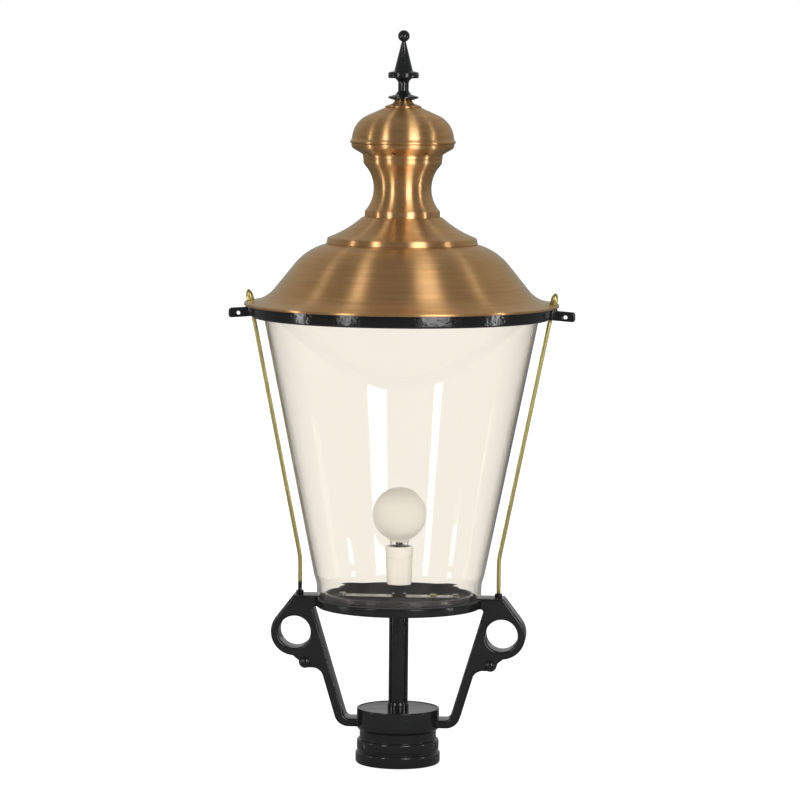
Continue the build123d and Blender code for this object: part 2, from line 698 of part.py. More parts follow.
def boss_and_ear():
    """The boss round the right rod, and the drooping ear beyond it with its bored end."""
    under = (AIR + COPPER_T) * RISE
    low = (BRIM_TOP_Z - under - BAND_Z) / BRIM_SEAT.z_dir.Z
    boss = BRIM_SEAT.location * disc(BOSS_R, -low, -AIR - COPPER_T)
    boss -= disc(BAND_R + BOSS_R * 2, BAND_Z - BAND_T, BAND_Z)
    room = 2 * BRIM_BEAD_R + AIR
    boss -= disc(RIM_R + BOSS_R, RIM_Z - room, BRIM_TOP_Z + BOSS_R, RIM_R - room)
    root_x = BAND_R - BAND_T / 2
    tip_x = BAND_R + EAR_OUT
    low_z = BAND_Z - EAR_DROOP
    web = FilletPolyline(
        (root_x, BAND_Z),
        (tip_x, low_z),
        (tip_x, low_z + EAR_H),
        (root_x, BAND_Z + EAR_H),
        radius=[0, EAR_BEND, EAR_BEND, 0],
        close=True,
    )
    hole = Pos(tip_x - EAR_HOLE_IN, low_z + EAR_H / 2) * Circle(EAR_HOLE_R)
    ear = extrude(Plane.XZ * (make_face(web.edges()) - hole), EAR_T / 2, both=True)
    ends = ear.faces().filter_by(Axis.Y)
    ear = chamfer([edge for end in ends for edge in end.outer_wire().edges()], EAR_T * 0.15)
    return boss + ear


def shade():
    """Clear tapered cylinder that steps in to a short upright foot."""
    wall = spun(
        bent(
            [
                (SHADE_FOOT_R, SHADE_Z, 0),
                (SHADE_FOOT_R, SHADE_Z + SHADE_FOOT_H, SHADE_BEND),
                (SHADE_CONE_R, SHADE_CONE_Z, SHADE_BEND),
                (SHADE_TOP_R, SHADE_TOP_Z, 0),
            ]
        ),
        SHADE_WALL,
    )
    return wall & disc(SHADE_TOP_R + SHADE_WALL, SHADE_Z, SHADE_TOP_Z)


def hood():
    """The copper bell: a beaded brim, an ogee wall and a turned-in crown."""
    brim = (RIM_R - BRIM_W, RIM_Z + SLOPE * BRIM_W)
    shoulder = (HOOD_SHOULDER_R, RIM_Z + HOOD_SHOULDER_H)
    bend = arc_bend(brim, shoulder, (HOOD_CROWN_R, CROWN_Z), HOOD_SHOULDER_ARC)
    body = spun(
        bent(
            [
                (RIM_R, RIM_Z, 0),
                (*brim, BRIM_BEND),
                (*shoulder, bend),
                (HOOD_CROWN_R, CROWN_Z, HOOD_CROWN_BEND),
                (HOOD_MOUTH_R, CROWN_Z, 0),
            ]
        ),
        COPPER_T,
    )
    bead = Pos(RIM_R - BRIM_BEAD_R, RIM_Z - BRIM_BEAD_R) * Circle(BRIM_BEAD_R)
    body += revolve(Plane.XZ * bead, Axis.Z)
    room = M6_R + 2 * AIR
    travel = SLOPE * (ROD_END + COPPER_T) * RISE
    slot = Pos(travel / 2, 0) * SlotCenterToCenter(travel, 2 * room)
    cut = BRIM_SEAT.location * extrude(slot, 3 * COPPER_T, both=True)
    for hole in both_sides(cut):
        body -= hole
    return body


def hood_skirt():
    """The concave copper cone that stands on the bell's crown."""
    rim = (SKIRT_R - SKIRT_RIM_IN, SKIRT_Z + SKIRT_RIM_H)
    waist_r = SKIRT_TOP_R + SKIRT_WAIST_AT * (SKIRT_R - SKIRT_TOP_R)
    waist = (waist_r, SKIRT_Z + SKIRT_WAIST_H)
    return spun(
        bent(
            [
                (SKIRT_R, SKIRT_Z, 0),
                (*rim, SKIRT_RIM_BEND),
                (*waist, arc_bend(rim, waist, (SKIRT_TOP_R, NECK_Z), SKIRT_WAIST_ARC)),
                (SKIRT_TOP_R, NECK_Z, SKIRT_TOP_BEND),
                (SKIRT_MOUTH_R, NECK_Z, 0),
            ]
        ),
        COPPER_T,
    )


def vent_neck():
    """The waisted copper chimney between its two plain bands."""
    foot_z = NECK_Z + NECK_FOOT_H
    head_z = VENT_Z - NECK_HEAD_H
    head_r = NECK_HEAD_R - NECK_HEAD_IN
    waist_top = (head_r - NECK_HEAD_STEP, head_z - NECK_HEAD_STEP)
    foot = Polyline(
        (NECK_FOOT_R, NECK_Z), (NECK_FOOT_R, foot_z), (NECK_FOOT_R - NECK_STEP, foot_z + NECK_STEP)
    )
    waist = ThreePointArc(
        (NECK_FOOT_R - NECK_STEP, foot_z + NECK_STEP),
        (NECK_WAIST_R, NECK_Z + NECK_WAIST_H),
        waist_top,
    )
    band = (NECK_HEAD_R, VENT_Z - NECK_BAND_H)
    head = Polyline(waist_top, (head_r, head_z), band, (NECK_HEAD_R, VENT_Z))
    return spun(foot + waist + head, COPPER_T)


def vent_collar():
    """The flared copper dish under the dome, pierced all round to let hot air out."""
    body = spun(
        bent(
            [
                (VENT_MOUTH_R, VENT_Z, 0),
                (VENT_FOOT_R, VENT_Z, 1.5),
                (VENT_FOOT_R, VENT_Z + VENT_FOOT_H, VENT_FOOT_BEND),
                (VENT_BOWL_R, VENT_Z + VENT_BOWL_H, VENT_BOWL_BEND),
                (VENT_RIM_R, DOME_Z, 1.5),
                (VENT_RIM_R - VENT_RIM_IN, DOME_Z, 0),
            ]
        ),
        COPPER_T,
    )
    run = VENT_BOWL_R - VENT_FOOT_R
    climb = VENT_BOWL_H - VENT_FOOT_H
    hole_r = VENT_FOOT_R + run * VENT_HOLE_AT
    hole_z = VENT_Z + VENT_FOOT_H + climb * VENT_HOLE_AT
    drill = extrude(Circle(VENT_HOLE_R), 3 * COPPER_T, both=True)
    drill = Pos(hole_r, 0, hole_z) * Rot(0, 90 + degrees(atan2(run, climb)), 0) * drill
    for i in range(VENT_HOLES):
        body -= Rot(0, 0, VENT_HOLE_ANGLE - 90 + 360 / VENT_HOLES * i) * drill
    return body


def vent_dome():
    """The copper dome over the vent, its lip turned in below."""
    return spun(
        bent(
            [
                (DOME_LIP_R - DOME_LIP_IN, DOME_Z, 0),
                (DOME_LIP_R, DOME_Z, 1.3),
                (DOME_LIP_R, DOME_Z + DOME_LIP_H, 1.3),
                (DOME_WALL_R, DOME_Z + DOME_WALL_H, 1.5),
                (DOME_SHOULDER_R, DOME_Z + DOME_SHOULDER_H, DOME_SHOULDER_BEND),
                (DOME_TOP_R, DOME_Z + DOME_H, DOME_TOP_BEND),
                (M8_R + SLIP, DOME_Z + DOME_H, 0),
            ]
        ),
        COPPER_T,
    )


def finial_seat():
    """The turned copper seat between the dome and the finial."""
    return turned(
        [
            (M8_R + SLIP, CAP_Z, 0),
            (CAP_R, CAP_Z, 0.5),
            (CAP_R, CAP_Z + CAP_LEDGE_H, 1),
            (CAP_WAIST_R, CAP_Z + CAP_WAIST_H, CAP_BEND),
            (CAP_TOP_R, FINIAL_Z, 0.5),
            (M8_R + SLIP, FINIAL_Z, 0),
        ]
    )


def finial():
    """The spire: a dished foot, a spool, a collar, a long cone and a ball."""
    collar_top = FINIAL_COLLAR_LOW + FINIAL_COLLAR_T
    outline = [
        (0, 0, 0),
        (FINIAL_FOOT_R, 0, 0),
        (FINIAL_DISH_R, FINIAL_DISH_LOW, 0.8),
        (FINIAL_DISH_R, FINIAL_DISH_HIGH, 0.8),
        (FINIAL_DISH_IN_R, FINIAL_DISH_IN_H, 2),
        (FINIAL_SPOOL_R, FINIAL_SPOOL_LOW, 2),
        (FINIAL_SPOOL_R, FINIAL_SPOOL_HIGH, FINIAL_SPOOL_BEND),
        (FINIAL_FLARE_R, FINIAL_COLLAR_LOW, 0),
        (FINIAL_COLLAR_R, FINIAL_COLLAR_LOW, FINIAL_COLLAR_ROUND),
        (FINIAL_COLLAR_R, collar_top, FINIAL_COLLAR_ROUND),
        (FINIAL_CONE_R, collar_top + FINIAL_CONE_RISE, EDGE),
        (FINIAL_NECK_R, FINIAL_NECK_H, 0),
        (FINIAL_NECK_R, FINIAL_H - FINIAL_BALL_R, 0),
        (0, FINIAL_H - FINIAL_BALL_R, 0),
    ]
    body = turned([(r, FINIAL_Z + z, bend) for r, z, bend in outline])
    body += Pos(0, 0, FINIAL_Z + FINIAL_H - FINIAL_BALL_R) * Sphere(FINIAL_BALL_R)
    return body - disc(M8_R + FIT, FINIAL_Z, FINIAL_Z + STUD_GRIP)


def hood_stud():
    """The long stud that draws the whole copper stack together."""
    return disc(M8_R, STUD_NUT_Z - STUD_NUT_SPARE, FINIAL_Z + STUD_GRIP)


def hood_bridge():
    """Flat bar under the bell's turned-in crown, which the stud pulls up against."""
    half = HOOD_MOUTH_R + BRIDGE_BEARING
    return block(-half, half, BRIDGE_W, BRIDGE_Z, BRIDGE_Z + BRIDGE_T) - disc(
        M8_R + SLIP, BRIDGE_Z, BRIDGE_Z + BRIDGE_T
    )


def rod_washer():
    """Washer on the right rod, just clear of the brim."""
    return BRIM_SEAT.location * disc(M6_WASHER_R, AIR, AIR + M6_WASHER_T, M6_R + SLIP)


def acorn_nut():
    """Domed nut on the right rod's upper end, turning on its thread above the washer."""
    dome = turned(
        [
            (0, 0, 0),
            (ACORN_DOME_R, 0, 0),
            (ACORN_DOME_R, (M6_NUT_H + ACORN_H) / 2, ACORN_SIDE_BEND),
            (ACORN_TIP_R, ACORN_H, ACORN_TIP_BEND),
            (0, ACORN_H, 0),
        ]
    )
    body = dome + extrude(RegularPolygon(M6_FLATS / 2, 6, major_radius=False), M6_NUT_H)
    body -= disc(M6_R + FIT, 0, ACORN_BORE)
    lift = AIR + M6_WASHER_T + FIT
    return BRIM_SEAT.location * Pos(0, 0, lift) * body


def holder_nipple():
    """Threaded tube from the crossbar's hub into the holder's floor."""
    top = HOLDER_Z + NIPPLE_GRIP
    return disc(NIPPLE_R, STEM_TOP_Z - NIPPLE_TAIL, top, NIPPLE_R - NIPPLE_WALL)


def holder_outline(low, high, bore):
    """A length of the holder's tapered porcelain wall."""
    taper = (HOLDER_TOP_R - HOLDER_FOOT_R) / HOLDER_H
    low_r = HOLDER_FOOT_R + taper * low
    high_r = HOLDER_FOOT_R + taper * high
    return turned(
        [
            (bore, HOLDER_Z + low, 0),
            (low_r, HOLDER_Z + low, HOLDER_EDGE),
            (high_r, HOLDER_Z + high, HOLDER_EDGE),
            (bore, HOLDER_Z + high, 0),
        ]
    )


def lampholder_body():
    """Porcelain cup with a bored floor."""
    body = holder_outline(0, HOLDER_BODY_H, NIPPLE_R - NIPPLE_WALL)
    body -= disc(NIPPLE_R + FIT, HOLDER_Z, HOLDER_Z + NIPPLE_GRIP)
    return body - disc(HOLDER_WALL_IN, BLOCK_Z, HOLDER_Z + HOLDER_BODY_H)


def lampholder_ring():
    """Porcelain ring that closes the cup round the bulb's cap."""
    return holder_outline(HOLDER_BODY_H, HOLDER_H, HOLDER_WALL_IN)


def contact_block():
    """Porcelain disc that carries the contacts inside the holder."""
    return disc(HOLDER_WALL_IN - SLIP, BLOCK_Z, BLOCK_TOP_Z, NIPPLE_R - NIPPLE_WALL - 1)


def contact_screws():
    """Small screws that hold the wires on the contact block."""
    screw = Pos(BLOCK_SCREW_AT, 0, 0) * disc(BLOCK_SCREW_R, BLOCK_TOP_Z, BLOCK_TOP_Z + BLOCK_SCREW_H)
    return Compound([Rot(0, 0, 90 + 360 / BLOCK_SCREWS * i) * screw for i in range(BLOCK_SCREWS)])


def contact_tongue():
    """Brass tongue that the bulb's end contact presses on."""
    return disc(TONGUE_R, BLOCK_TOP_Z, BLOCK_TOP_Z + TONGUE_H)


def screw_shell():
    """Brass sleeve inside the holder that the bulb screws into."""
    foot = disc(SHELL_R, BLOCK_TOP_Z, BLOCK_TOP_Z + SHELL_WALL, SHELL_R - SHELL_FLANGE_IN)
    return foot + disc(SHELL_R, BLOCK_TOP_Z, BLOCK_TOP_Z + SHELL_H, SHELL_R - SHELL_WALL)


def bulb_contact():
    """Solder button at the bottom of the bulb."""
    return disc(CONTACT_R, CONTACT_Z, INSULATOR_Z)


def bulb_insulator():
    """Black glass cone between the button and the cap."""
    return turned(
        [
            (0, INSULATOR_Z, 0),
            (INSULATOR_FOOT_R, INSULATOR_Z, 0),
            (INSULATOR_TOP_R, CAP_SHELL_Z, 0),
            (0, CAP_SHELL_Z, 0),
        ]
    )


def bulb_cap():
    """Brass screw cap, turned in at its lower end."""
    inner = CAP_SHELL_R - CAP_SHELL_WALL
    foot = disc(CAP_SHELL_R, CAP_SHELL_Z, CAP_SHELL_Z + CAP_SHELL_WALL, INSULATOR_TOP_R - 1)
    return foot + disc(CAP_SHELL_R, CAP_SHELL_Z, CAP_SHELL_TOP_Z, inner)


def globe_profile(shrink):
    """Half of the globe and its neck, drawn in by a wall thickness."""
    low = CAP_SHELL_TOP_Z - GLOBE_NECK_SINK
    neck_r = GLOBE_NECK_R - shrink
    globe_r = GLOBE_R - shrink
    bend = GLOBE_NECK_BEND + shrink
    join_z = GLOBE_Z - ((globe_r + bend) ** 2 - (neck_r + bend) ** 2) ** 0.5
    tilt = atan2(GLOBE_Z - join_z, -(neck_r + bend))
    touch = (neck_r + bend + bend * cos(tilt), join_z + bend * sin(tilt))
    middle = (pi + tilt) / 2
    elbow = (neck_r + bend + bend * cos(middle), join_z + bend * sin(middle))
    return (
        Line((0, low), (neck_r, low))
        + Line((neck_r, low), (neck_r, join_z))
        + ThreePointArc((neck_r, join_z), elbow, touch)
        + ThreePointArc(touch, (globe_r, GLOBE_Z), (0, GLOBE_Z + globe_r))
        + Line((0, GLOBE_Z + globe_r), (0, low))
    )


def bulb_globe():
    """Clear globe, blown thin, with a short neck that sits in the cap."""
    outer = revolve(Plane.XZ * make_face(globe_profile(0).edges()), Axis.Z)
    inner = revolve(Plane.XZ * make_face(globe_profile(GLASS_T).edges()), Axis.Z)
    return outer - inner


def bulb_mount():
    """Glass flare and stem inside the globe, with the button that holds the wires."""
    low = CAP_SHELL_TOP_Z - GLOBE_NECK_SINK
    body = turned(
        [
            (0, low, 0),
            (MOUNT_FLARE_R, low, 0),
            (MOUNT_STEM_R, low + MOUNT_FLARE_H, 0),
            (MOUNT_STEM_R / 2, low + MOUNT_FLARE_H, 0),
            (MOUNT_STEM_R / 2, low + MOUNT_H, 0),
            (MOUNT_BUTTON_R, low + MOUNT_H + MOUNT_BUTTON_H / 2, 0),
            (MOUNT_STEM_R / 2, low + MOUNT_H + MOUNT_BUTTON_H, 0),
            (0, low + MOUNT_H + MOUNT_BUTTON_H, 0),
        ]
    )
    return body - bulb_filament()


def bulb_filament():
    """The filament's open ring round the stem, with its two lead wires."""
    z = GLOBE_Z
    spread = (360 - FILAMENT_SWEEP) / 2
    arc = CenterArc((0, 0, z), FILAMENT_RING_R, spread - 90, FILAMENT_SWEEP)
    body = sweep(Plane(origin=arc @ 0, z_dir=arc % 0) * Circle(FILAMENT_R), path=arc)
    foot_z = CAP_SHELL_TOP_Z - GLOBE_NECK_SINK + MOUNT_FLARE_H / 2
    for side, end in ((1, arc @ 0), (-1, arc @ 1)):
        lead = Line((side * LEAD_SPREAD, 0, foot_z), tuple(end))
        body += sweep(Plane(origin=lead @ 0, z_dir=lead % 0) * Circle(WIRE_R), path=lead)
    return body


def write(name, piece):
    """Writes one sub-part to its own file."""
    export_step(piece, os.path.join("parts", name + ".step"))


RIGHT_PIECES = {
    "arm": arm(),
    "tie_rod": tie_rod(),
    "rod_washer": rod_washer(),
    "acorn_nut": acorn_nut(),
}
for name, piece in RIGHT_PIECES.items():
    right, left = both_sides(piece)
    write(name + "_right", right)
    write(name + "_left", left)

write("post_socket", post_socket())
write("socket_set_screws", socket_set_screws())
write("stem_tube", disc(STEM_R, STEM_NUT_Z, STEM_TOP_Z, STEM_R - STEM_WALL))
write("stem_nut", Pos(0, 0, STEM_NUT_Z) * hex_nut(STEM_NUT_FLATS, STEM_NUT_H, STEM_R + FIT))
STEM_SEAT_Z = SOCKET_H - SOCKET_RIM_H
write("stem_ring", disc(STEM_RING_R, STEM_SEAT_Z, STEM_SEAT_Z + STEM_RING_H, STEM_R + FIT))
write("lug_bolts", lug_bolts())
write("lug_nuts", lug_nuts())
write("arm_screws", arm_screws())
write("lower_ring", lower_ring())
write("crossbar", crossbar())
write("crossbar_screws", crossbar_screws())
write("earth_screw", earth_screw())
write("rod_lock_nuts", rod_lock_nuts())
write("shade", shade())
write("shade_foot_gasket", disc(SHADE_FOOT_R, LEDGE_Z, SHADE_Z, RING_LIP_R + SLIP))
RIM_GASKET_R = SHADE_TOP_R - SHADE_WALL - BAND_LIP_IN
write("shade_rim_gasket", disc(SHADE_TOP_R + 1, SHADE_TOP_Z, BAND_LIP_Z, RIM_GASKET_R))
write("top_ring", top_ring())
write("hood", hood())
write("hood_skirt", hood_skirt())
write("vent_neck", vent_neck())
write("vent_collar", vent_collar())
write("vent_dome", vent_dome())
write("finial_seat", finial_seat())
write("finial", finial())
write("hood_stud", hood_stud())
write("hood_bridge", hood_bridge())
STUD_WASHER_Z = BRIDGE_Z - M8_WASHER_T
write("hood_stud_washer", disc(M8_WASHER_R, STUD_WASHER_Z, BRIDGE_Z, M8_R + SLIP))
write("hood_stud_nut", Pos(0, 0, STUD_NUT_Z) * hex_nut(M8_FLATS, M8_NUT_H, M8_R + FIT))
write("holder_nipple", holder_nipple())
write("nipple_nut", Pos(0, 0, BAR_TOP_Z) * hex_nut(NIPPLE_NUT_FLATS, NIPPLE_NUT_H, NIPPLE_R + FIT))
write("lampholder_body", lampholder_body())
write("lampholder_ring", lampholder_ring())
write("contact_block", contact_block())
write("contact_screws", contact_screws())
write("contact_tongue", contact_tongue())
write("screw_shell", screw_shell())
write("bulb_contact", bulb_contact())
write("bulb_insulator", bulb_insulator())
write("bulb_cap", bulb_cap())
write("bulb_globe", bulb_globe())
write("bulb_mount", bulb_mount())
write("bulb_filament", bulb_filament())
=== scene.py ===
from math import acos, asin, atan2, cos, hypot, pi, radians, sin, tan

import bmesh
import bpy
import numpy as np
from mathutils import Matrix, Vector
from mathutils.geometry import tessellate_polygon


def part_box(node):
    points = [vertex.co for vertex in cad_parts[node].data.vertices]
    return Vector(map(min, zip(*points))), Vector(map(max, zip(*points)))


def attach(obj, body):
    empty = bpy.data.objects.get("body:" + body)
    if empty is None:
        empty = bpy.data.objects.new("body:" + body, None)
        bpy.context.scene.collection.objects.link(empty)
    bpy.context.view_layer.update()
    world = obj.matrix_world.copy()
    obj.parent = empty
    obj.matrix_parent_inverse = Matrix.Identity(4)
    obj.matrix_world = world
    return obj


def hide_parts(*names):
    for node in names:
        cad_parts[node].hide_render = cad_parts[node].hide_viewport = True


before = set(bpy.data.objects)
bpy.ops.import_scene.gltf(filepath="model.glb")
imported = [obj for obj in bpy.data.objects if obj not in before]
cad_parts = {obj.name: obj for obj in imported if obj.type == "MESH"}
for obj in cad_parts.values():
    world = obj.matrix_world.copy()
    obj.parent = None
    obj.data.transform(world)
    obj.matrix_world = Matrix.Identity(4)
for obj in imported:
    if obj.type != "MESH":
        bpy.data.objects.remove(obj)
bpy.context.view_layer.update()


# Camera. It stands far off on the lantern's right, about level with the ball of the spire,
# and looks slightly down through a long lens.

PHOTO_SIDE = 800
FOCAL_PIXELS = 3906.0
CAMERA_BACK = 5.345
CAMERA_HEIGHT = 1.003
AIM_HEIGHT = 0.504
CAMERA_TURN = radians(4.5)
CAMERA_ROLL = radians(0.5)
CAMERA_SHIFT = -0.0009

camera = bpy.data.objects.new("camera", bpy.data.cameras.new("camera"))
camera.data.lens = camera.data.sensor_width * FOCAL_PIXELS / PHOTO_SIDE
camera.data.clip_end = 200
camera.data.shift_x = CAMERA_SHIFT
camera_dip = atan2(CAMERA_HEIGHT - AIM_HEIGHT, CAMERA_BACK)
camera.matrix_world = (
    Matrix.Rotation(CAMERA_TURN, 4, "Z")
    @ Matrix.Translation((0, -CAMERA_BACK, CAMERA_HEIGHT))
    @ Matrix.Rotation(pi / 2 - camera_dip, 4, "X")
    @ Matrix.Rotation(CAMERA_ROLL, 4, "Z")
)
scene = bpy.context.scene
scene.collection.objects.link(camera)
scene.camera = camera
scene.view_settings.view_transform = "Standard"


# Soft boxes. Two stand in front, one each side of the camera, and two low, narrow ones light
# the sides. Each is a plain white rectangle turned to face the lantern.

BOX_AIM = 0.62


def soft_box(name, azimuth, distance, height, width, tall, radiance):
    """A rectangle that faces the lantern's axis, its azimuth counted from the camera's side."""
    lamp = bpy.data.lights.new(name, "AREA")
    lamp.shape = "RECTANGLE"
    lamp.size, lamp.size_y = width, tall
    lamp.energy = radiance * pi * width * tall
    holder = bpy.data.objects.new(name, lamp)
    holder.matrix_world = (
        Matrix.Rotation(CAMERA_TURN + radians(azimuth), 4, "Z")
        @ Matrix.Translation((0, -distance, height))
        @ Matrix.Rotation(pi / 2 - atan2(height - BOX_AIM, distance), 4, "X")
    )
    holder.visible_camera = False
    scene.collection.objects.link(holder)


FRONT_BOX = dict(distance=2.3, height=1.0, tall=1.5)
SIDE_BOX = dict(distance=2.2, height=0.42, tall=0.7)

soft_box("box_front_left", azimuth=-40, width=0.34, radiance=7.0, **FRONT_BOX)
soft_box("box_front_right", azimuth=25, width=0.8, radiance=6.8, **FRONT_BOX)
soft_box("box_side_left", azimuth=-80, width=0.18, radiance=12.0, **SIDE_BOX)
soft_box("box_side_right", azimuth=73, width=0.2, radiance=13.0, **SIDE_BOX)


# Room and floor. The camera sees white behind the lantern, also straight through the shade.
# What paint, copper and shade mirror is a grey room that is paler behind the lantern.


class Field:
    """A value that may vary over a surface: a node's socket, with the arithmetic it needs."""

    def __init__(self, socket):
        self.socket, self.tree = socket, socket.id_data

    def feed(self, sockets):
        """Gives the inputs of this field's own node their values or links."""
        for key, value in sockets.items():
            target = self.socket.node.inputs[key]
            if isinstance(value, Field):
                self.tree.links.new(value.socket, target)
            else:
                target.default_value = value
        return self

    def node(self, kind, settings=None, sockets=None, output=0):
        """One more node of the same tree: its settings first, then its values or links."""
        made = self.tree.nodes.new(kind)
        for key, value in (settings or {}).items():
            setattr(made, key, value)
        return Field(made.outputs[output]).feed(sockets or {})

    def maths(self, operation, first, second=0.0):
        """A sum of two numbers or fields, worked out where the surface is seen."""
        return self.node("ShaderNodeMath", {"operation": operation}, {0: first, 1: second})

    def __add__(self, other):
        return self.maths("ADD", self, other)

    def __sub__(self, other):
        return self.maths("SUBTRACT", self, other)

    def __rsub__(self, other):
        return self.maths("SUBTRACT", other, self)

    def __mul__(self, other):
        return self.maths("MULTIPLY", self, other)

    def __truediv__(self, other):
        return self.maths("DIVIDE", self, other)

    def __pow__(self, other):
        return self.maths("POWER", self, other)

    __radd__ = __add__
    __rmul__ = __mul__

    def between(self, low, high):
        """0 below low, 1 above high, and smooth between them."""
        return self.node(
            "ShaderNodeMapRange",
            {"interpolation_type": "SMOOTHSTEP"},
            {"Value": self, "From Min": low, "From Max": high},
        )

    def blend(self, low, high):
        """The colour low where this field is 0, and high where it is 1."""
        return self.node("ShaderNodeMix", {"data_type": "RGBA"}, {0: self, 6: low, 7: high}, output=2)

    def along(self, axis):
        """One coordinate of a vector field: 0 for x, 1 for y and 2 for z."""
        return self.node("ShaderNodeSeparateXYZ", {}, {0: self}, output=axis)

    def straight(self):
        """1 for the camera's own rays and those that go straight on through glass, else 0."""
        questions = ("Is Camera Ray", "Is Transmission Ray", "Glossy Depth", "Diffuse Depth")
        asked = [self.node("ShaderNodeLightPath", output=question) for question in questions]
        return (asked[0] + asked[1] - asked[2] - asked[3]).between(0, 1)


ROOM_FRONT = 0.2
ROOM_BEHIND = 0.46
SHADE_FRONT = 0.4
SHADE_BEHIND = 1.0
ROOM_LEVEL = 2.0

room = bpy.data.worlds.new("room")
room.use_nodes = True
scene.world = room
walls = Field(room.node_tree.nodes["World Output"].inputs["Surface"])
toward = walls.node("ShaderNodeTexCoord", output="Generated")
behind = toward.along(1)
through = walls.node("ShaderNodeLightPath", output="Transmission Depth").between(0, 1)
in_metal = behind.between(-0.3, 0.8) * (ROOM_BEHIND - ROOM_FRONT) + ROOM_FRONT
in_shade = behind.between(-0.5, 0.4) * (SHADE_BEHIND - SHADE_FRONT) + SHADE_FRONT
mirrored_room = in_metal * (1 - through) + in_shade * through
mirrored_once = walls.node("ShaderNodeLightPath", output="Glossy Depth").between(0, 1)
grey = mirrored_room * mirrored_once + ROOM_LEVEL * (1 - mirrored_once)
room_light = walls.node("ShaderNodeBackground", {}, {"Color": (1, 1, 1, 1), "Strength": grey})
room_white = walls.node("ShaderNodeBackground", {}, {"Color": (1, 1, 1, 1), "Strength": 1.0})
shown = walls.node("ShaderNodeMixShader", {}, {0: walls.straight(), 1: room_light, 2: room_white})
walls.feed({"Surface": shown})

FLOOR_SIDE = 60.0
FLOOR_GLOW = 0.9
FLOOR_GREY = (0.5, 0.5, 0.49, 1)
SHADOW_GREY = (0.15, 0.15, 0.15, 1)

floor_mesh = bpy.data.meshes.new("floor")
half = FLOOR_SIDE / 2
floor_mesh.from_pydata(
    [(-half, -half, 0), (half, -half, 0), (half, half, 0), (-half, half, 0)], [], [(0, 1, 2, 3)]
)
floor = bpy.data.objects.new("floor", floor_mesh)
scene.collection.objects.link(floor)

pale = bpy.data.materials.new("pale_floor")
pale.use_nodes = True
floor_mesh.materials.append(pale)
ground = Field(pale.node_tree.nodes["Material Output"].inputs["Surface"])
matt = ground.node("ShaderNodeBsdfDiffuse", {}, {"Color": FLOOR_GREY})
soft = ground.node("ShaderNodeBsdfDiffuse", {}, {"Color": SHADOW_GREY})
glow = ground.node("ShaderNodeEmission", {}, {"Strength": FLOOR_GLOW})
lit = ground.node("ShaderNodeAddShader", {}, {0: soft, 1: glow})
shown = ground.node("ShaderNodeMixShader", {}, {0: ground.straight(), 1: matt, 2: lit})
ground.feed({"Surface": shown})


# Post socket. A ribbed collar of cast aluminium under thick gloss black paint. It is cast in
# one piece, bored for the post, and tapped through its ridge for three set screws.

MM = 0.001


def unit(v):
    """Each row brought to length 1."""
    return v / np.maximum(np.linalg.norm(v, axis=-1, keepdims=True), 1e-12)


def rounded(corners, steps=8):
    """Points along a line through (across, up, bend) corners, each bend an arc.

    In a corner of half angle h, an arc of radius b touches both runs at b / tan(h) from the
    corner. Its centre lies on the bisector at b / sin(h), and its points turn evenly.
    """
    corners = np.array(corners, float)
    place, bend = corners[:, :2], corners[:, 2:]
    before = unit(np.roll(place, 1, 0) - place)
    after = unit(np.roll(place, -1, 0) - place)
    half = np.arccos(np.clip((before * after).sum(1, keepdims=True), -1, 0.999999)) / 2
    centre = place + unit(before + after) * bend / np.sin(half)
    start = place + before * bend / np.tan(half) - centre
    end = place + after * bend / np.tan(half) - centre
    turn = np.maximum(pi - 2 * half, 1e-6)[:, None]
    share = np.linspace(0, 1, steps + 1)[None, :, None]
    arc = np.sin((1 - share) * turn) * start[:, None] + np.sin(share * turn) * end[:, None]
    points = (centre[:, None] + arc / np.sin(turn)).reshape(-1, 2)
    return points[np.linalg.norm(points - np.roll(points, 1, 0), axis=1) > 1e-6]


def skin(grid, round_v=True):
    """Quads over a grid of points that closes on itself along u, and along v if told to."""
    rows, columns = grid.shape[:2]
    index = np.arange(rows * columns).reshape(rows, columns)
    index = np.vstack([index, index[:1]])
    if round_v:
        index = np.hstack([index, index[:, :1]])
    corners = [index[:-1, :-1], index[1:, :-1], index[1:, 1:], index[:-1, 1:]]
    return grid.reshape(-1, 3), np.stack(corners, -1).reshape(-1, 4)


def turned(profile, turns=192, flats=None):
    """A profile in mm, drawn anticlockwise, carried round the upright axis.

    Its point (r, z) at turn a lies at (r cos a, r sin a, z). Six flats, where there are any,
    cap r at half the distance across them, over the cosine of the turn from a flat's middle.
    """
    a = np.linspace(0, 2 * pi, turns, endpoint=False)[:, None]
    r = np.broadcast_to(profile[:, 0], (turns, len(profile)))
    if flats:
        from_middle = (a + pi / 6) % (pi / 3) - pi / 6
        r = np.minimum(r, flats / 2 / np.cos(from_middle))
    z = np.broadcast_to(profile[:, 1], r.shape)
    return skin(np.stack([r * np.cos(a), r * np.sin(a), z], -1))


def placed(form, matrix):
    """A form in mm, turned and moved by a matrix."""
    points, faces = form
    m = np.array(matrix)
    return points @ m[:3, :3].T + m[:3, 3], faces


def as_object(name, forms):
    """One mesh object from forms in mm, with doubled points merged so that poles close."""
    starts = np.cumsum([0] + [len(points) for points, faces in forms])
    points = np.vstack([points for points, faces in forms]) * MM
    faces = [face for (_, some), start in zip(forms, starts) for face in (some + start).tolist()]
    mesh = bpy.data.meshes.new(name)
    mesh.from_pydata(points.tolist(), [], faces)
    work = bmesh.new()
    work.from_mesh(mesh)
    bmesh.ops.remove_doubles(work, verts=work.verts, dist=1e-7)
    work.to_mesh(mesh)
    work.free()
    made = bpy.data.objects.new(name, mesh)
    scene.collection.objects.link(made)
    return made


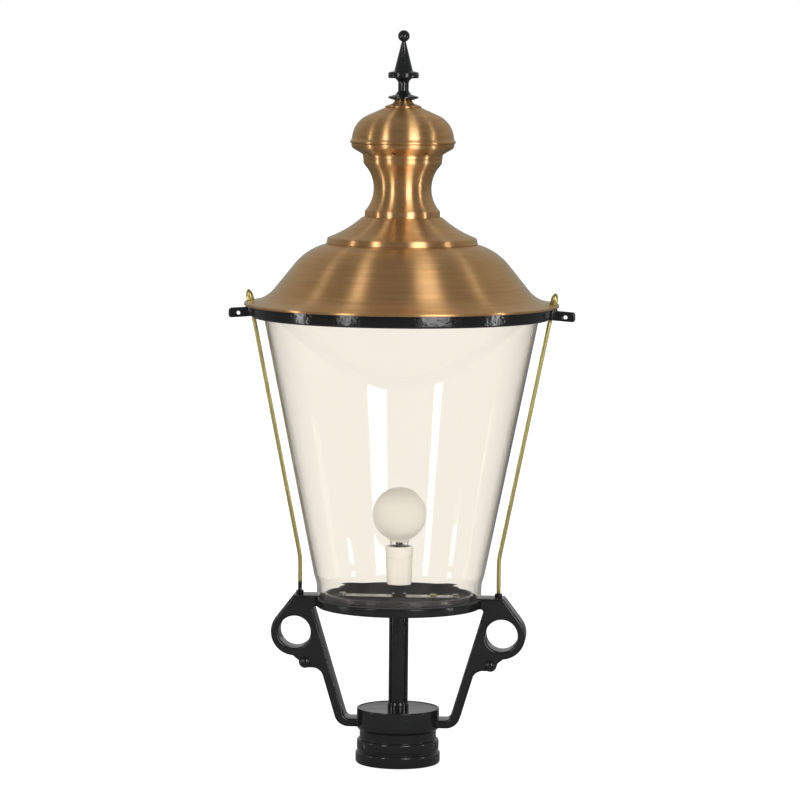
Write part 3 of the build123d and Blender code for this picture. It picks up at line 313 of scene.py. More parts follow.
def cut(made, cutters):
    """Cuts closed forms out of an object, and keeps the result as its mesh."""
    tool = as_object("cutter", cutters)
    step = made.modifiers.new("cut", "BOOLEAN")
    step.object, step.solver = tool, "EXACT"
    seen = made.evaluated_get(bpy.context.evaluated_depsgraph_get())
    made.data = bpy.data.meshes.new_from_object(seen)
    made.modifiers.clear()
    bpy.data.objects.remove(tool)


def finished(made, material, body, slot, *nodes, fold=38):
    """Gives an object its material and its place in the lantern, smooth but for sharp folds."""
    mesh = made.data
    mesh.materials.clear()
    mesh.materials.append(material)
    mesh.polygons.foreach_set("use_smooth", np.ones(len(mesh.polygons), bool))
    mesh.set_sharp_from_angle(angle=radians(fold))
    if nodes:
        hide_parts(*nodes)
    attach(made, body)
    return made


def dressed(material, *nodes):
    """Gives solids that stay as they are their material."""
    for node in nodes:
        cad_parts[node].data.materials.clear()
        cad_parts[node].data.materials.append(material)


def surface(name, **plain):
    """A material with plain values on its shader's own sockets, and the field that varies it."""
    material = bpy.data.materials.new(name)
    material.use_nodes = True
    shader = Field(material.node_tree.nodes["Principled BSDF"].outputs[0])
    shader.feed({key.replace("_", " "): value for key, value in plain.items()})
    return material, shader


def grain(shader, scale, detail=2.0, where=None):
    """Cloudy noise of about that many clouds a metre, from 0 to 1."""
    where = where or shader.node("ShaderNodeTexCoord", output="Object")
    return shader.node("ShaderNodeTexNoise", {}, {"Vector": where, "Scale": scale, "Detail": detail})


def dented(height, depth):
    """A normal that rises and falls by a depth in metres with a height field."""
    return height.node("ShaderNodeBump", {}, {"Height": height, "Distance": depth})


black, paint = surface(
    "gloss_black_paint", Base_Color=(0.005, 0.0052, 0.0053, 1), Specular_IOR_Level=0.44
)
sand = grain(paint, 260, 3) * 0.4 + grain(paint, 60, 2)
paint.feed({"Roughness": grain(paint, 35, 3) * 0.14 + 0.05, "Normal": dented(sand, 0.0006)})

FOOT_H = 17.0
GROOVE_R, GROOVE_H = 55.0, 3.0
RIDGE_R, RIDGE_H = 56.7, 14.0
WAIST_R, WAIST_H = 53.0, 12.0
DRUM_R = 57.0
RIM_W, RIM_H = 3.0, 0.8
POST_R = 38.5
NUT_ROOM_R = 22.2
SLIP = 0.05
GAP = 0.25
SCREW_TURNS = (67.5, 187.5, 307.5)
SCREW_R = 4.0

foot_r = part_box("post_socket")[1].x / MM
socket_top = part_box("post_socket")[1].z / MM
stem_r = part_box("stem_tube")[1].x / MM
ridge_z = FOOT_H + GROOVE_H
waist_z = ridge_z + RIDGE_H
drum_z = waist_z + WAIST_H
roof_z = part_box("stem_nut")[1].z / MM
nut_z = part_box("stem_nut")[0].z / MM
bore_top = nut_z - GAP
collar_profile = rounded(
    [
        (POST_R, 0, 0.8),
        (foot_r, 0, 4),
        (foot_r, FOOT_H, 2.8),
        (GROOVE_R, FOOT_H, 0.3),
        (GROOVE_R, ridge_z, 0.3),
        (RIDGE_R, ridge_z, 1.2),
        (RIDGE_R, waist_z, 2.6),
        (WAIST_R, waist_z, 0.5),
        (WAIST_R, drum_z, 2),
        (DRUM_R, drum_z + DRUM_R - WAIST_R, 4),
        (DRUM_R, socket_top, 1.1),
        (DRUM_R - RIM_W, socket_top, 0.5),
        (DRUM_R - RIM_W, socket_top - RIM_H, 0.2),
        (stem_r + SLIP, socket_top - RIM_H, 0),
        (stem_r + SLIP, roof_z, 0),
        (NUT_ROOM_R, roof_z, 0),
        (NUT_ROOM_R, bore_top, 0),
        (POST_R, bore_top, 0.8),
    ]
)
collar = as_object("post_collar", [turned(collar_profile, turns=256)])
screw_places = [
    Matrix.Rotation(radians(turn), 4, "Z")
    @ Matrix.Translation((0, -RIDGE_R, ridge_z + RIDGE_H / 2))
    @ Matrix.Rotation(pi / 2, 4, "X")
    for turn in SCREW_TURNS
]


def drill(radius, depth, clear):
    """A round cutter that reaches a depth below the surface and stands clear above it."""
    return turned(np.array([(0, -depth), (radius, -depth), (radius, clear), (0, clear)]), turns=32)


hole = drill(SCREW_R + SLIP, depth=20.0, clear=9.0)
cut(collar, [placed(hole, place) for place in screw_places])
finished(collar, black, "frame", "black_casting", "post_socket")


# Set screws. Three headless steel screws that clamp the post, each with a key socket in its
# outer end. They are turned in through the ridge until they sit just under its surface.

steel, plain_steel = surface("plain_steel", Base_Color=(0.42, 0.41, 0.4, 1), Metallic=1.0)
plain_steel.feed({"Roughness": grain(plain_steel, 400, 3) * 0.2 + 0.24})

KEY_R = 2.0
KEY_DEPTH = 4.0
SCREW_INSET = 1.0
POINT = 0.8
POINT_BACK = 0.3

screw_low = POST_R + POINT_BACK - RIDGE_R
screw_form_profile = rounded(
    [
        (0, screw_low, 0),
        (SCREW_R - POINT, screw_low, 0),
        (SCREW_R, screw_low + POINT, 0),
        (SCREW_R, -SCREW_INSET - POINT, 0),
        (SCREW_R - POINT, -SCREW_INSET, 0),
        (KEY_R, -SCREW_INSET, 0),
        (KEY_R, -SCREW_INSET - KEY_DEPTH, 0),
        (0, -SCREW_INSET - KEY_DEPTH, 0),
    ]
)
screw_form = turned(screw_form_profile, turns=48)
set_screws = as_object("set_screws", [placed(screw_form, place) for place in screw_places])
finished(set_screws, steel, "frame", "steel_fixings", "socket_set_screws")


# Stem. A length of steel pipe, threaded at both ends and painted black, that stands in the
# collar's roof and carries the crossbar. A thin ring covers the hole that it leaves by.

PIPE_WALL = 2.65

stem_low, stem_high = (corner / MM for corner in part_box("stem_tube"))
pipe_in = stem_r - PIPE_WALL
stem_profile = rounded(
    [
        (pipe_in, stem_low.z, 0.6),
        (stem_r, stem_low.z, 0.6),
        (stem_r, stem_high.z, 0.6),
        (pipe_in, stem_high.z, 0.6),
    ]
)
stem = as_object("stem_pipe", [turned(stem_profile, turns=96)])
finished(stem, black, "frame", "black_steel", "stem_tube")

ring_low, ring_high = (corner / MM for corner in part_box("stem_ring"))
stem_ring_profile = rounded(
    [
        (stem_r + SLIP, ring_low.z, 0),
        (ring_high.x, ring_low.z, 0),
        (ring_high.x, ring_low.z + 5.5, 1.2),
        (ring_high.x - 1.3, ring_high.z, 0.8),
        (stem_r + SLIP, ring_high.z, 0),
    ]
)
stem_ring = as_object("stem_foot_ring", [turned(stem_ring_profile, turns=96)])
finished(stem_ring, black, "frame", "black_steel", "stem_ring")

nut_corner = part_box("stem_nut")[1].x / MM


def nut_profile(bore, corner, low, high, bevel=0.12):
    """The profile of a nut whose corners are turned off at both ends."""
    slope = (high - low) * bevel
    return rounded(
        [
            (bore, low, 0),
            (corner * 0.9, low, 0),
            (corner, low + slope, 0),
            (corner, high - slope, 0),
            (corner * 0.9, high, 0),
            (bore, high, 0),
        ]
    )


def across_flats(corner):
    """The distance across a nut's six flats, from the radius of its corners."""
    return corner * 3**0.5


stem_nut_profile = nut_profile(stem_r + SLIP, nut_corner, nut_z, roof_z)
stem_nut_form = turned(stem_nut_profile, turns=96, flats=across_flats(nut_corner))
stem_nut = as_object("stem_lock_nut", [stem_nut_form])
finished(stem_nut, black, "frame", "black_steel", "stem_nut", fold=20)


# Arms. Two flat castings that spring from slots in the collar and end in a head beside the
# lower ring, with an open eye on the outside and a lug for a bolt below it.

ARM_EDGE = 3.2
ARM_T = 13.2
TOE_T = 11.0
TOE_IN = 10.0
KNEE_OUT = 14.9
HEAD_OUT = 4.1
HEAD_LAP = 3.0
SHOULDER_OUT = 8.0
EYE = (143.0, 182.0)
EYE_R = 22.3
EYE_WALL = 10.7
LUG_DROP = 49.5
LUG_R = 9.0
LUG_BOLT = (EYE[0] - 15.0, EYE[1] - 41.3)
ROD_FOOT = 137.5

arm_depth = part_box("arm_right")[1].y * 2 / MM
arm_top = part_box("arm_right")[1].z / MM
toe_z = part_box("arm_right")[0].z / MM
ring_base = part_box("lower_ring")[0].z / MM
ring_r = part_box("lower_ring")[1].x / MM


def ring_points(centre, radius, start, end, count):
    """Points round part of a circle, from one angle to another."""
    a = np.linspace(start, end, count)
    return np.stack([centre[0] + radius * np.cos(a), centre[1] + radius * np.sin(a)], -1)


def inset(loop, distance):
    """A closed loop moved inwards: each point goes along the mean of its two edges' normals."""
    along = unit(np.roll(loop, -1, 0) - loop)
    left = np.stack([-along[:, 1], along[:, 0]], -1)
    mean = left + np.roll(left, 1, 0)
    return loop + distance * mean * 2 / np.maximum((mean**2).sum(1, keepdims=True), 0.5)


def plate(loops, depth, edge, steps=6):
    """A flat casting drawn by closed loops in (x, z), through its depth along y.

    The loops run anticlockwise round metal and clockwise round holes. A rounded edge's ring at
    turn t lies edge * (1 - sin t) inside the loop and edge * (1 - cos t) behind the face, and
    one more ring inside it keeps the face flat. The faces are filled with triangles.
    """
    t = np.linspace(pi / 2, 0, steps + 1)
    inward = np.append(edge * (1 - np.sin(t)), edge * 1.15)
    back = depth / 2 - np.append(edge * (1 - np.cos(t)), 0)
    forms, fronts = [], []
    for loop in loops:
        rings = np.stack([inset(loop, d) for d in inward], 1)
        y = np.broadcast_to(back, rings.shape[:2])
        front = np.stack([rings[..., 0], -y, rings[..., 1]], -1)
        rear = front * (1, -1, 1)
        forms.append(skin(np.concatenate([rear[:, ::-1], front], 1), round_v=False))
        fronts.append(front[:, -1])
    filled = np.array(tessellate_polygon([face.tolist() for face in fronts]))
    points = np.vstack(fronts)
    first, second, third = (points[filled[:, k]] for k in range(3))
    facing = np.cross(second - first, third - first)[:, 1] < 0
    filled = np.where(facing[:, None], filled, filled[:, ::-1])
    forms.append((points, filled))
    forms.append((points * (1, -1, 1), filled[:, ::-1]))
    return forms


knee_in = DRUM_R + KNEE_OUT
toe_root = DRUM_R - TOE_IN
head_in = ring_r + HEAD_OUT
head_end = ring_r - HEAD_LAP
lean = (head_in - knee_in) / (ring_base - toe_z - TOE_T)
strut_w = ARM_T * hypot(1, lean)
lug_z = EYE[1] - LUG_DROP
eye_out = EYE_R + EYE_WALL
shoulder = ROD_FOOT + SHOULDER_OUT
reach = hypot(shoulder - EYE[0], arm_top - EYE[1])
touch = atan2(arm_top - EYE[1], shoulder - EYE[0]) - acos(eye_out / reach)
lug_under = -pi + asin((LUG_BOLT[1] - lug_z) / LUG_R)
arm_corners = (
    [(toe_root, toe_z, 0), (knee_in - lean * TOE_T + strut_w, toe_z, 20)]
    + [(knee_in + lean * (lug_z - toe_z - TOE_T) + strut_w, lug_z, 15)]
    + [(x, z, 0) for x, z in ring_points(LUG_BOLT, LUG_R, lug_under, radians(10), 24)]
    + [(x, z, 0) for x, z in ring_points(EYE, eye_out, radians(-86), touch, 60)]
    + [(shoulder, arm_top, 4), (head_end, arm_top, 0), (head_end, ring_base, 0)]
    + [(head_in, ring_base, 3.4), (knee_in, toe_z + TOE_T, 8), (toe_root, toe_z + TOE_T, 0)]
)
eye_loop = ring_points(EYE, EYE_R, 0, -2 * pi, 97)[:-1]
arm_forms = plate([rounded(arm_corners, steps=12), eye_loop], arm_depth, ARM_EDGE)


def mirrored(form):
    """The form on the other side, its faces turned round to point outwards again."""
    points, faces = form
    return points * (-1, 1, 1), faces[:, ::-1]


for side, forms in (("right", arm_forms), ("left", [mirrored(form) for form in arm_forms])):
    made = as_object("arm_casting_" + side, forms)
    finished(made, black, "frame", "black_casting", "arm_" + side, fold=50)


# Lug bolts. A round-headed bolt through each lug with a nut behind it, painted over with the
# arms. The head is a low dome turned on the bolt.

BOLT_R = 4.0
BOLT_L = 48.0
BOLT_HEAD_R = 7.4
BOLT_HEAD_H = 5.5
NUT_CORNER = 7.5
NUT_FLATS = 13
NUT_H = 6.5

head = [(BOLT_HEAD_R * cos(t), BOLT_HEAD_H * sin(t), 0) for t in np.linspace(0.15, pi / 2, 14)]
shank = [(0, -BOLT_L, 0), (BOLT_R - 0.6, -BOLT_L, 0), (BOLT_R, 0.6 - BOLT_L, 0), (BOLT_R, 0, 0)]
bolt_form = turned(rounded(shank + [(BOLT_HEAD_R, 0, 0)] + head), turns=48)
behind_lug = -arm_depth
lug_nut_profile = nut_profile(BOLT_R, NUT_CORNER, behind_lug - NUT_H, behind_lug)
nut_form = turned(lug_nut_profile, turns=48, flats=NUT_FLATS)
bolt_seat = (LUG_BOLT[0], -arm_depth / 2, LUG_BOLT[1])
to_lug = Matrix.Translation(bolt_seat) @ Matrix.Rotation(pi / 2, 4, "X")
fixings = (("lug_bolt_pair", bolt_form, "lug_bolts"), ("lug_nut_pair", nut_form, "lug_nuts"))
for name, form, node in fixings:
    right = placed(form, to_lug)
    made = as_object(name, [right, mirrored(right)])
    finished(made, black, "frame", "steel_fixings", node, fold=30)


# Lower ring. A cast ring with a ledge for the shade's foot and an upright lip inside it.
# Two lugs inside carry the ends of the crossbar, which has a hub for the stem.

LIP_R = 102.6
LIP_H = 8.0
RING_IN = 99.5
LUG_IN = 71.5
LUG_W = 22.0
LUG_TOP = 224.0

lip_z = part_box("lower_ring")[1].z / MM
ledge_z = lip_z - LIP_H
ring_form_profile = rounded(
    [
        (RING_IN, ring_base, 1.5),
        (ring_r, ring_base, 2.6),
        (ring_r, ledge_z, 1.4),
        (LIP_R, ledge_z, 0.4),
        (LIP_R, lip_z, 1.2),
        (RING_IN, lip_z, 1.2),
    ]
)
ring_form = turned(ring_form_profile, turns=256)
lug_root = RING_IN + 1
lug_corners = [
    (LUG_IN, ring_base, 1),
    (lug_root, ring_base, 0),
    (lug_root, LUG_TOP, 0),
    (LUG_IN, LUG_TOP, 1),
]
ring_lug = plate([rounded(lug_corners)], LUG_W, 1.2)
lower = as_object("shade_ring", [ring_form] + ring_lug + [mirrored(form) for form in ring_lug])
finished(lower, black, "frame", "black_casting", "lower_ring")


# Crossbar. A flat casting laid on the ring's lugs, with a hub under its middle that the stem
# screws into. Two screws hold it down, and a brass screw on top takes the earth wire.

BAR_T = 12.0
BAR_W = 36.0
HUB_R = 18.0
BAR_END_GAP = 0.4

bar_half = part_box("crossbar")[1].x / MM - BAR_END_GAP
bar_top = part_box("crossbar")[1].z / MM
hub_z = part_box("crossbar")[0].z / MM
lap_x = LUG_IN - GAP
bar_right = [
    (lap_x, bar_top - BAR_T, 0),
    (lap_x, LUG_TOP, 0),
    (bar_half, LUG_TOP, 0.5),
    (bar_half, bar_top, 1.5),
]
bar_left = [(-x, z, bend) for x, z, bend in reversed(bar_right)]
bar_forms = plate([rounded(bar_right + bar_left)], BAR_W, 1.8)
hub_profile = rounded(
    [
        (stem_r + SLIP, hub_z, 0.4),
        (HUB_R, hub_z, 1.5),
        (HUB_R, bar_top - BAR_T + 1, 0),
        (stem_r + SLIP, bar_top - BAR_T + 1, 0),
    ]
)
hub = turned(hub_profile, turns=96)
bar = as_object("cross_bar", bar_forms + [hub])
finished(bar, black, "frame", "black_casting", "crossbar")

BRASS = (0.5, 0.42, 0.16, 1)

brass, plain_brass = surface("satin_brass", Base_Color=BRASS, Metallic=1.0)
plain_brass.feed({"Roughness": grain(plain_brass, 180, 3) * 0.22 + 0.2})
dressed(black, "hood_bridge", "holder_nipple")
dressed(steel, "arm_screws", "crossbar_screws", "hood_stud", "hood_stud_washer", "hood_stud_nut")
dressed(brass, "earth_screw", "contact_screws", "contact_tongue", "screw_shell", "bulb_cap")


# Gaskets. Flat rings of black rubber under the shade's foot and over its mouth, cut from
# sheet and laid in place.

rubber, sheet = surface("black_rubber", Base_Color=(0.02, 0.02, 0.02, 1))
sheet.feed({"Roughness": grain(sheet, 300, 2) * 0.15 + 0.68})

RIM_GASKET_W = 7.8

for node in ("shade_foot_gasket", "shade_rim_gasket"):
    low, high = (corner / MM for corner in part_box(node))
    inner = LIP_R + GAP if node == "shade_foot_gasket" else high.x - RIM_GASKET_W
    washer = [(inner, low.z, 0), (high.x, low.z, 0.4), (high.x, high.z, 0.4), (inner, high.z, 0)]
    made = as_object(node + "_ring", [turned(rounded(washer), turns=192)])
    finished(made, rubber, "frame", "rubber", node)


# Lampholder. A cup and a ring of white porcelain, pressed and glazed, on a threaded nipple
# that a painted nut locks to the crossbar. The contact block sits inside.

PORCELAIN_PALE = (0.93, 0.91, 0.86, 1)
PORCELAIN_DEEP = (0.9, 0.88, 0.82, 1)

porcelain, glaze = surface("white_porcelain", Roughness=0.18, Coat_Weight=0.4, Coat_Roughness=0.06)
glaze.feed({"Base Color": grain(glaze, 90, 3).blend(PORCELAIN_PALE, PORCELAIN_DEEP)})

HOLDER_FOOT_R = 16.8
HOLDER_IN = 15.0
CUP_FLOOR = 10.0
NIPPLE_R = 6.5

holder_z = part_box("lampholder_body")[0].z / MM
joint_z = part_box("lampholder_ring")[0].z / MM
holder_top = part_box("lampholder_ring")[1].z / MM
holder_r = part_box("lampholder_ring")[1].x / MM
nipple_hole = NIPPLE_R + 0.1
cup_floor_z = holder_z + CUP_FLOOR
taper = (holder_r - HOLDER_FOOT_R) / (holder_top - holder_z)
joint_r = HOLDER_FOOT_R + taper * (joint_z - holder_z)
cup_profile = rounded(
    [
        (nipple_hole, holder_z, 0),
        (HOLDER_FOOT_R, holder_z, 2.2),
        (joint_r, joint_z, 0.9),
        (HOLDER_IN, joint_z, 0.4),
        (HOLDER_IN, cup_floor_z, 0.4),
        (nipple_hole, cup_floor_z, 0),
    ]
)
cup = as_object("porcelain_cup", [turned(cup_profile, turns=128)])
finished(cup, porcelain, "frame", "porcelain", "lampholder_body")
cap_ring_profile = rounded(
    [
        (HOLDER_IN, joint_z, 0.4),
        (joint_r, joint_z, 0.9),
        (holder_r, holder_top, 1.4),
        (HOLDER_IN, holder_top, 0.8),
    ]
)
cap_ring = as_object("porcelain_ring", [turned(cap_ring_profile, turns=128)])
finished(cap_ring, porcelain, "frame", "porcelain", "lampholder_ring")
dressed(porcelain, "contact_block")

nut_low, nut_high = (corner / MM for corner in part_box("nipple_nut"))
nipple_nut_profile = nut_profile(NIPPLE_R + SLIP, nut_high.x, nut_low.z, nut_high.z)
nipple_nut_form = turned(nipple_nut_profile, turns=96, flats=across_flats(nut_high.x))
nipple_nut = as_object("holder_lock_nut", [nipple_nut_form])
finished(nipple_nut, black, "frame", "black_steel", "nipple_nut", fold=20)


# Bulb. A thin globe of glass, frosted but for its neck, sealed to a brass cap. Its filament
# stands on a glass stem.

CLEAR_FROM = 1.02
FROST_FADE = 2.0

frosted, frost = surface(
    "frosted_glass", Base_Color=(1.0, 0.985, 0.94, 1), IOR=1.45, Transmission_Weight=0.16
)
frost.feed({"Roughness": grain(frost, 150, 3) * 0.1 + 0.4})
bare_neck = frost.node(
    "ShaderNodeBsdfPrincipled",
    {},
    {"Base Color": (1, 1, 1, 1), "Roughness": 0.02, "IOR": 1.45, "Transmission Weight": 1.0},
)
globe_low, globe_high = (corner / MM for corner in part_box("bulb_globe"))
globe_r = globe_high.x
globe_z = globe_high.z - globe_r
clear_z = globe_z - globe_r * CLEAR_FROM
up = frost.node("ShaderNodeTexCoord", output="Object").along(2)
blown = Field(frosted.node_tree.nodes["Material Output"].inputs["Surface"])
inside_frost = up.between((clear_z - FROST_FADE) * MM, (clear_z + FROST_FADE) * MM)
shown = frost.node("ShaderNodeMixShader", {}, {0: inside_frost, 1: bare_neck, 2: frost})
blown.feed({"Surface": shown})

NECK_R = 12.2
NECK_BEND = 9.0
GLASS_T = 0.8


def globe_outline(shrink):
    """The globe's outline from its neck to its pole, drawn in by a wall."""
    r, neck, bend = globe_r - shrink, NECK_R - shrink, NECK_BEND + shrink
    join = globe_z - ((r + bend) ** 2 - (neck + bend) ** 2) ** 0.5
    tilt = atan2(globe_z - join, -(neck + bend))
    elbow = ring_points((neck + bend, join), bend, pi, tilt, 10)
    start = atan2(elbow[-1, 1] - globe_z, elbow[-1, 0])
    ball = ring_points((0, globe_z), r, start, pi / 2, 40)
    return np.vstack([[(neck, globe_low.z)], elbow, ball[1:]])


glass_profile = np.vstack([globe_outline(0), globe_outline(GLASS_T)[::-1]])
globe = as_object("globe_glass", [turned(glass_profile, turns=128)])
finished(globe, frosted, "bulb", "bulb_glass", "bulb_globe", fold=80)

clear, pane = surface("clear_glass", Base_Color=(1, 1, 1, 1), IOR=1.5, Transmission_Weight=1.0)
pane.feed({"Roughness": grain(pane, 60, 2) * 0.03 + 0.01})
wire, drawn = surface("drawn_wire", Base_Color=(0.22, 0.2, 0.18, 1), Metallic=1.0)
drawn.feed({"Roughness": grain(drawn, 500, 2) * 0.2 + 0.3})
dark_glass, bead_glass = surface("black_glass", Base_Color=(0.01, 0.01, 0.012, 1))
bead_glass.feed({"Roughness": grain(bead_glass, 200, 2) * 0.1 + 0.08})
solder, tinned = surface("dull_solder", Base_Color=(0.55, 0.55, 0.53, 1), Metallic=1.0)
tinned.feed({"Roughness": grain(tinned, 500, 3) * 0.3 + 0.3})
dressed(clear, "bulb_mount")
dressed(wire, "bulb_filament")
dressed(dark_glass, "bulb_insulator")
dressed(solder, "bulb_contact")


# Shade. A tapered cylinder of clear acrylic, polished, with a faint warm tint. Its foot is
# drawn in to stand upright on the lower ring's ledge, round the lip.

SHADE_WALL = 4.0
SHADE_FOOT_R = 113.5
SHADE_FOOT_H = 18.0
SHADE_STEP_H = 12.0
SHADE_CONE_R = 117.4
SHADE_BEND = 40.0

shade_low, shade_high = (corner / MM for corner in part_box("shade"))
shade_foot_top = shade_low.z + SHADE_FOOT_H
shade_step = (SHADE_CONE_R, shade_foot_top + SHADE_STEP_H)


def walled(outline, wall):
    """A closed profile from an outline drawn upwards on the outside and a wall inside it.

    The inner line's points lie a wall away, along the mean of their two edges' normals.
    """
    along = unit(np.diff(outline, axis=0))
    along = np.vstack([along[:1], along, along[-1:]])
    left = np.stack([-along[:, 1], along[:, 0]], -1)
    mean = left[:-1] + left[1:]
    inner = outline + wall * mean * 2 / (mean**2).sum(1, keepdims=True)
    return np.vstack([outline, inner[::-1]])


acrylic, clear_sheet = surface(
    "clear_acrylic", Base_Color=(0.912, 0.884, 0.832, 1), IOR=1.49, Transmission_Weight=1.0
)
clear_sheet.feed({"Roughness": grain(clear_sheet, 12, 2) * 0.02 + 0.002})
shade_outline = rounded(
    [
        (SHADE_FOOT_R, shade_low.z, 0),
        (SHADE_FOOT_R, shade_foot_top, SHADE_BEND),
        (*shade_step, SHADE_BEND),
        (shade_high.x, shade_high.z, 0),
    ]
)
shade = as_object("shade_wall", [turned(walled(shade_outline, SHADE_WALL), turns=256)])
finished(shade, acrylic, "frame", "clear_shade", "shade")


# Tie rods. Brass bar, bent above the arms to lean with the shade and threaded at both ends.
# Their feet are painted over with the arms.

ROD_R = 2.85
THREAD_R = 3.0
THREAD_DEPTH = 0.5
THREAD_PITCH = 1.0
FOOT_THREAD_L = 32.0
TOP_THREAD_L = 34.0
ROD_BEND_UP = 52.0
ROD_BEND = 80.0
PAST_SEAT = 9.0
PAINT_TOP = 245.5
PAINT_TILT = 5.5

slope = (shade_high.x - shade_step[0]) / (shade_high.z - shade_step[1])
rim_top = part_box("tie_rod_right")[1]
rod_foot_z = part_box("tie_rod_right")[0].z / MM
rod_bend_z = arm_top + ROD_BEND_UP
lean_way = np.array([slope, 1]) / hypot(slope, 1)
rod_end = np.array([rim_top.x, rim_top.z]) / MM - THREAD_R * lean_way[::-1]
seat = rod_end - lean_way * PAST_SEAT


def swept_rod(corners, radius_at, round_points=24, step=0.3):
    """A round bar along corners in (x, z), its radius given by distance along it and turn.

    At distance s and turn a, a point lies off the line by radius_at(s, a), cos a of it across
    the line in its plane and sin a along y. Its ends close on the line.
    """
    line = rounded(corners, steps=24)
    s = np.concatenate([[0], np.cumsum(np.linalg.norm(np.diff(line, axis=0), axis=1))])
    at = np.linspace(0, s[-1], int(s[-1] / step) + 2)
    line = np.stack([np.interp(at, s, line[:, k]) for k in (0, 1)], -1)
    way = unit(np.gradient(line, axis=0))
    a = np.linspace(0, 2 * pi, round_points, endpoint=False)[:, None]
    r = radius_at(at[None], a)
    r[:, 0] = r[:, -1] = 0
    x = line[:, 0] - way[:, 1] * r * np.cos(a)
    z = line[:, 1] + way[:, 0] * r * np.cos(a)
    return skin(np.stack([x, r * np.sin(a), z], -1), round_v=False)


painted_brass, bar_brass = surface("brass_with_painted_foot")
rod_place = bar_brass.node("ShaderNodeTexCoord", output="Object")
rod_x, rod_z = rod_place.along(0), rod_place.along(2)
paint_top = PAINT_TOP * MM - rod_x.maths("SIGN", rod_x) * (PAINT_TILT * MM)
bare = (rod_z - paint_top + grain(bar_brass, 300, 2) * 0.002).between(0, 0.0012)
bar_brass.feed(
    {
        "Base Color": bare.blend((0.006, 0.006, 0.006, 1), BRASS),
        "Metallic": bare,
        "Roughness": bare * 0.12 + grain(bar_brass, 180, 3) * 0.2 + 0.1,
    }
)


def rod_radius(s, a):
    """The rod's radius: a thread at each end, which rises one pitch a turn, and plain between."""
    wave = np.abs((s / THREAD_PITCH - a / (2 * pi)) % 1 - 0.5) * 2
    threaded = (s < FOOT_THREAD_L) | (s > rod_length - TOP_THREAD_L)
    return np.where(threaded, THREAD_R - THREAD_DEPTH * wave, ROD_R)


rod_corners = [(ROD_FOOT, rod_foot_z, 0), (ROD_FOOT, rod_bend_z, ROD_BEND), (*rod_end, 0)]
rod_length = rod_bend_z - rod_foot_z + float(np.linalg.norm(rod_end - (ROD_FOOT, rod_bend_z)))
rod_form = swept_rod(rod_corners, rod_radius)
for side, form in (("right", rod_form), ("left", mirrored(rod_form))):
    made = as_object("rod_bar_" + side, [form])
    finished(made, painted_brass, "frame", "brass", "tie_rod_" + side, fold=60)

M6_CORNER = 5.77
M6_FLATS = 10
M6_NUT_H = 5

lock_profile = nut_profile(THREAD_R, M6_CORNER, arm_top, arm_top + M6_NUT_H)
lock_form = turned(lock_profile, turns=48, flats=M6_FLATS)
lock_form = placed(lock_form, Matrix.Translation((ROD_FOOT, 0, 0)))
lock_nuts = as_object("rod_foot_nuts", [lock_form, mirrored(lock_form)])
finished(lock_nuts, black, "frame", "black_steel", "rod_lock_nuts", fold=20)


# Top ring. A cast band round the shade's mouth, with a boss for each rod and an ear beyond
# it, under the same black paint as the arms.

WALL_OUT = 2.2
BAND_OUT = 14.2
BAND_RISE = 9.7
SEAT_W = 8.0
LIP_LOW, LIP_HIGH = 2.0, 7.0
LIP_INSIDE = 6.8
BOSS_R = 7.0
BOSS_LOW, BOSS_HIGH = -20.4, -5.2
EAR_DROOP = 3.0
EAR_H = 13.5
EAR_T = 11.0
EAR_ROOT = 6.0
EAR_HOLE_R = 2.75
EAR_HOLE_IN = 13.5

band_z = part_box("top_ring")[0].z / MM + EAR_DROOP
band_r = shade_high.x + BAND_OUT
band_top = shade_high.z + BAND_RISE
wall_r = shade_high.x + WALL_OUT
lip_in = shade_high.x - LIP_INSIDE
lip_low = shade_high.z + LIP_LOW
lip_high = shade_high.z + LIP_HIGH
band_profile = rounded(
    [
        (wall_r, band_z, 1),
        (band_r, band_z, 2.6),
        (band_r, band_top, 1.6),
        (band_r - SEAT_W, band_top + slope * SEAT_W, 0.4),
        (band_r - SEAT_W, lip_high, 0.4),
        (lip_in, lip_high, 1),
        (lip_in, lip_low, 0),
        (wall_r, lip_low, 0),
    ]
)
band = turned(band_profile, turns=384)
ear_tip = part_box("top_ring")[1].x / MM
bore_r = THREAD_R + 0.3
boss_corners = [
    (bore_r, BOSS_LOW, 0.6),
    (BOSS_R, BOSS_LOW, 1.5),
    (BOSS_R, BOSS_HIGH, 1),
    (bore_r, BOSS_HIGH, 0),
]
boss = turned(rounded(boss_corners), turns=64)
to_seat = Matrix.Translation((seat[0], 0, seat[1])) @ Matrix.Rotation(atan2(slope, 1), 4, "Y")
boss = placed(boss, to_seat)
ear_z = band_z - EAR_DROOP
ear_line = rounded(
    [
        (band_r - EAR_ROOT, band_z, 0),
        (ear_tip, ear_z, 4),
        (ear_tip, ear_z + EAR_H, 4),
        (band_r - EAR_ROOT, band_z + EAR_H, 0),
    ]
)
ear_hole = ring_points((ear_tip - EAR_HOLE_IN, ear_z + EAR_H / 2), EAR_HOLE_R, 0, -2 * pi, 25)[:-1]
ear_forms = plate([ear_line, ear_hole], EAR_T, 2.2)
right_side = [boss] + ear_forms
top_ring = as_object("mouth_ring", [band] + right_side + [mirrored(form) for form in right_side])
finished(top_ring, black, "frame", "black_casting", "top_ring", fold=50)


# Hood. A bell of copper sheet, spun over a former, brushed round and lacquered, with a bead
# rolled on its brim. The skirt, neck, dish and dome above it are spun the same way.

COPPER_T = 1.2

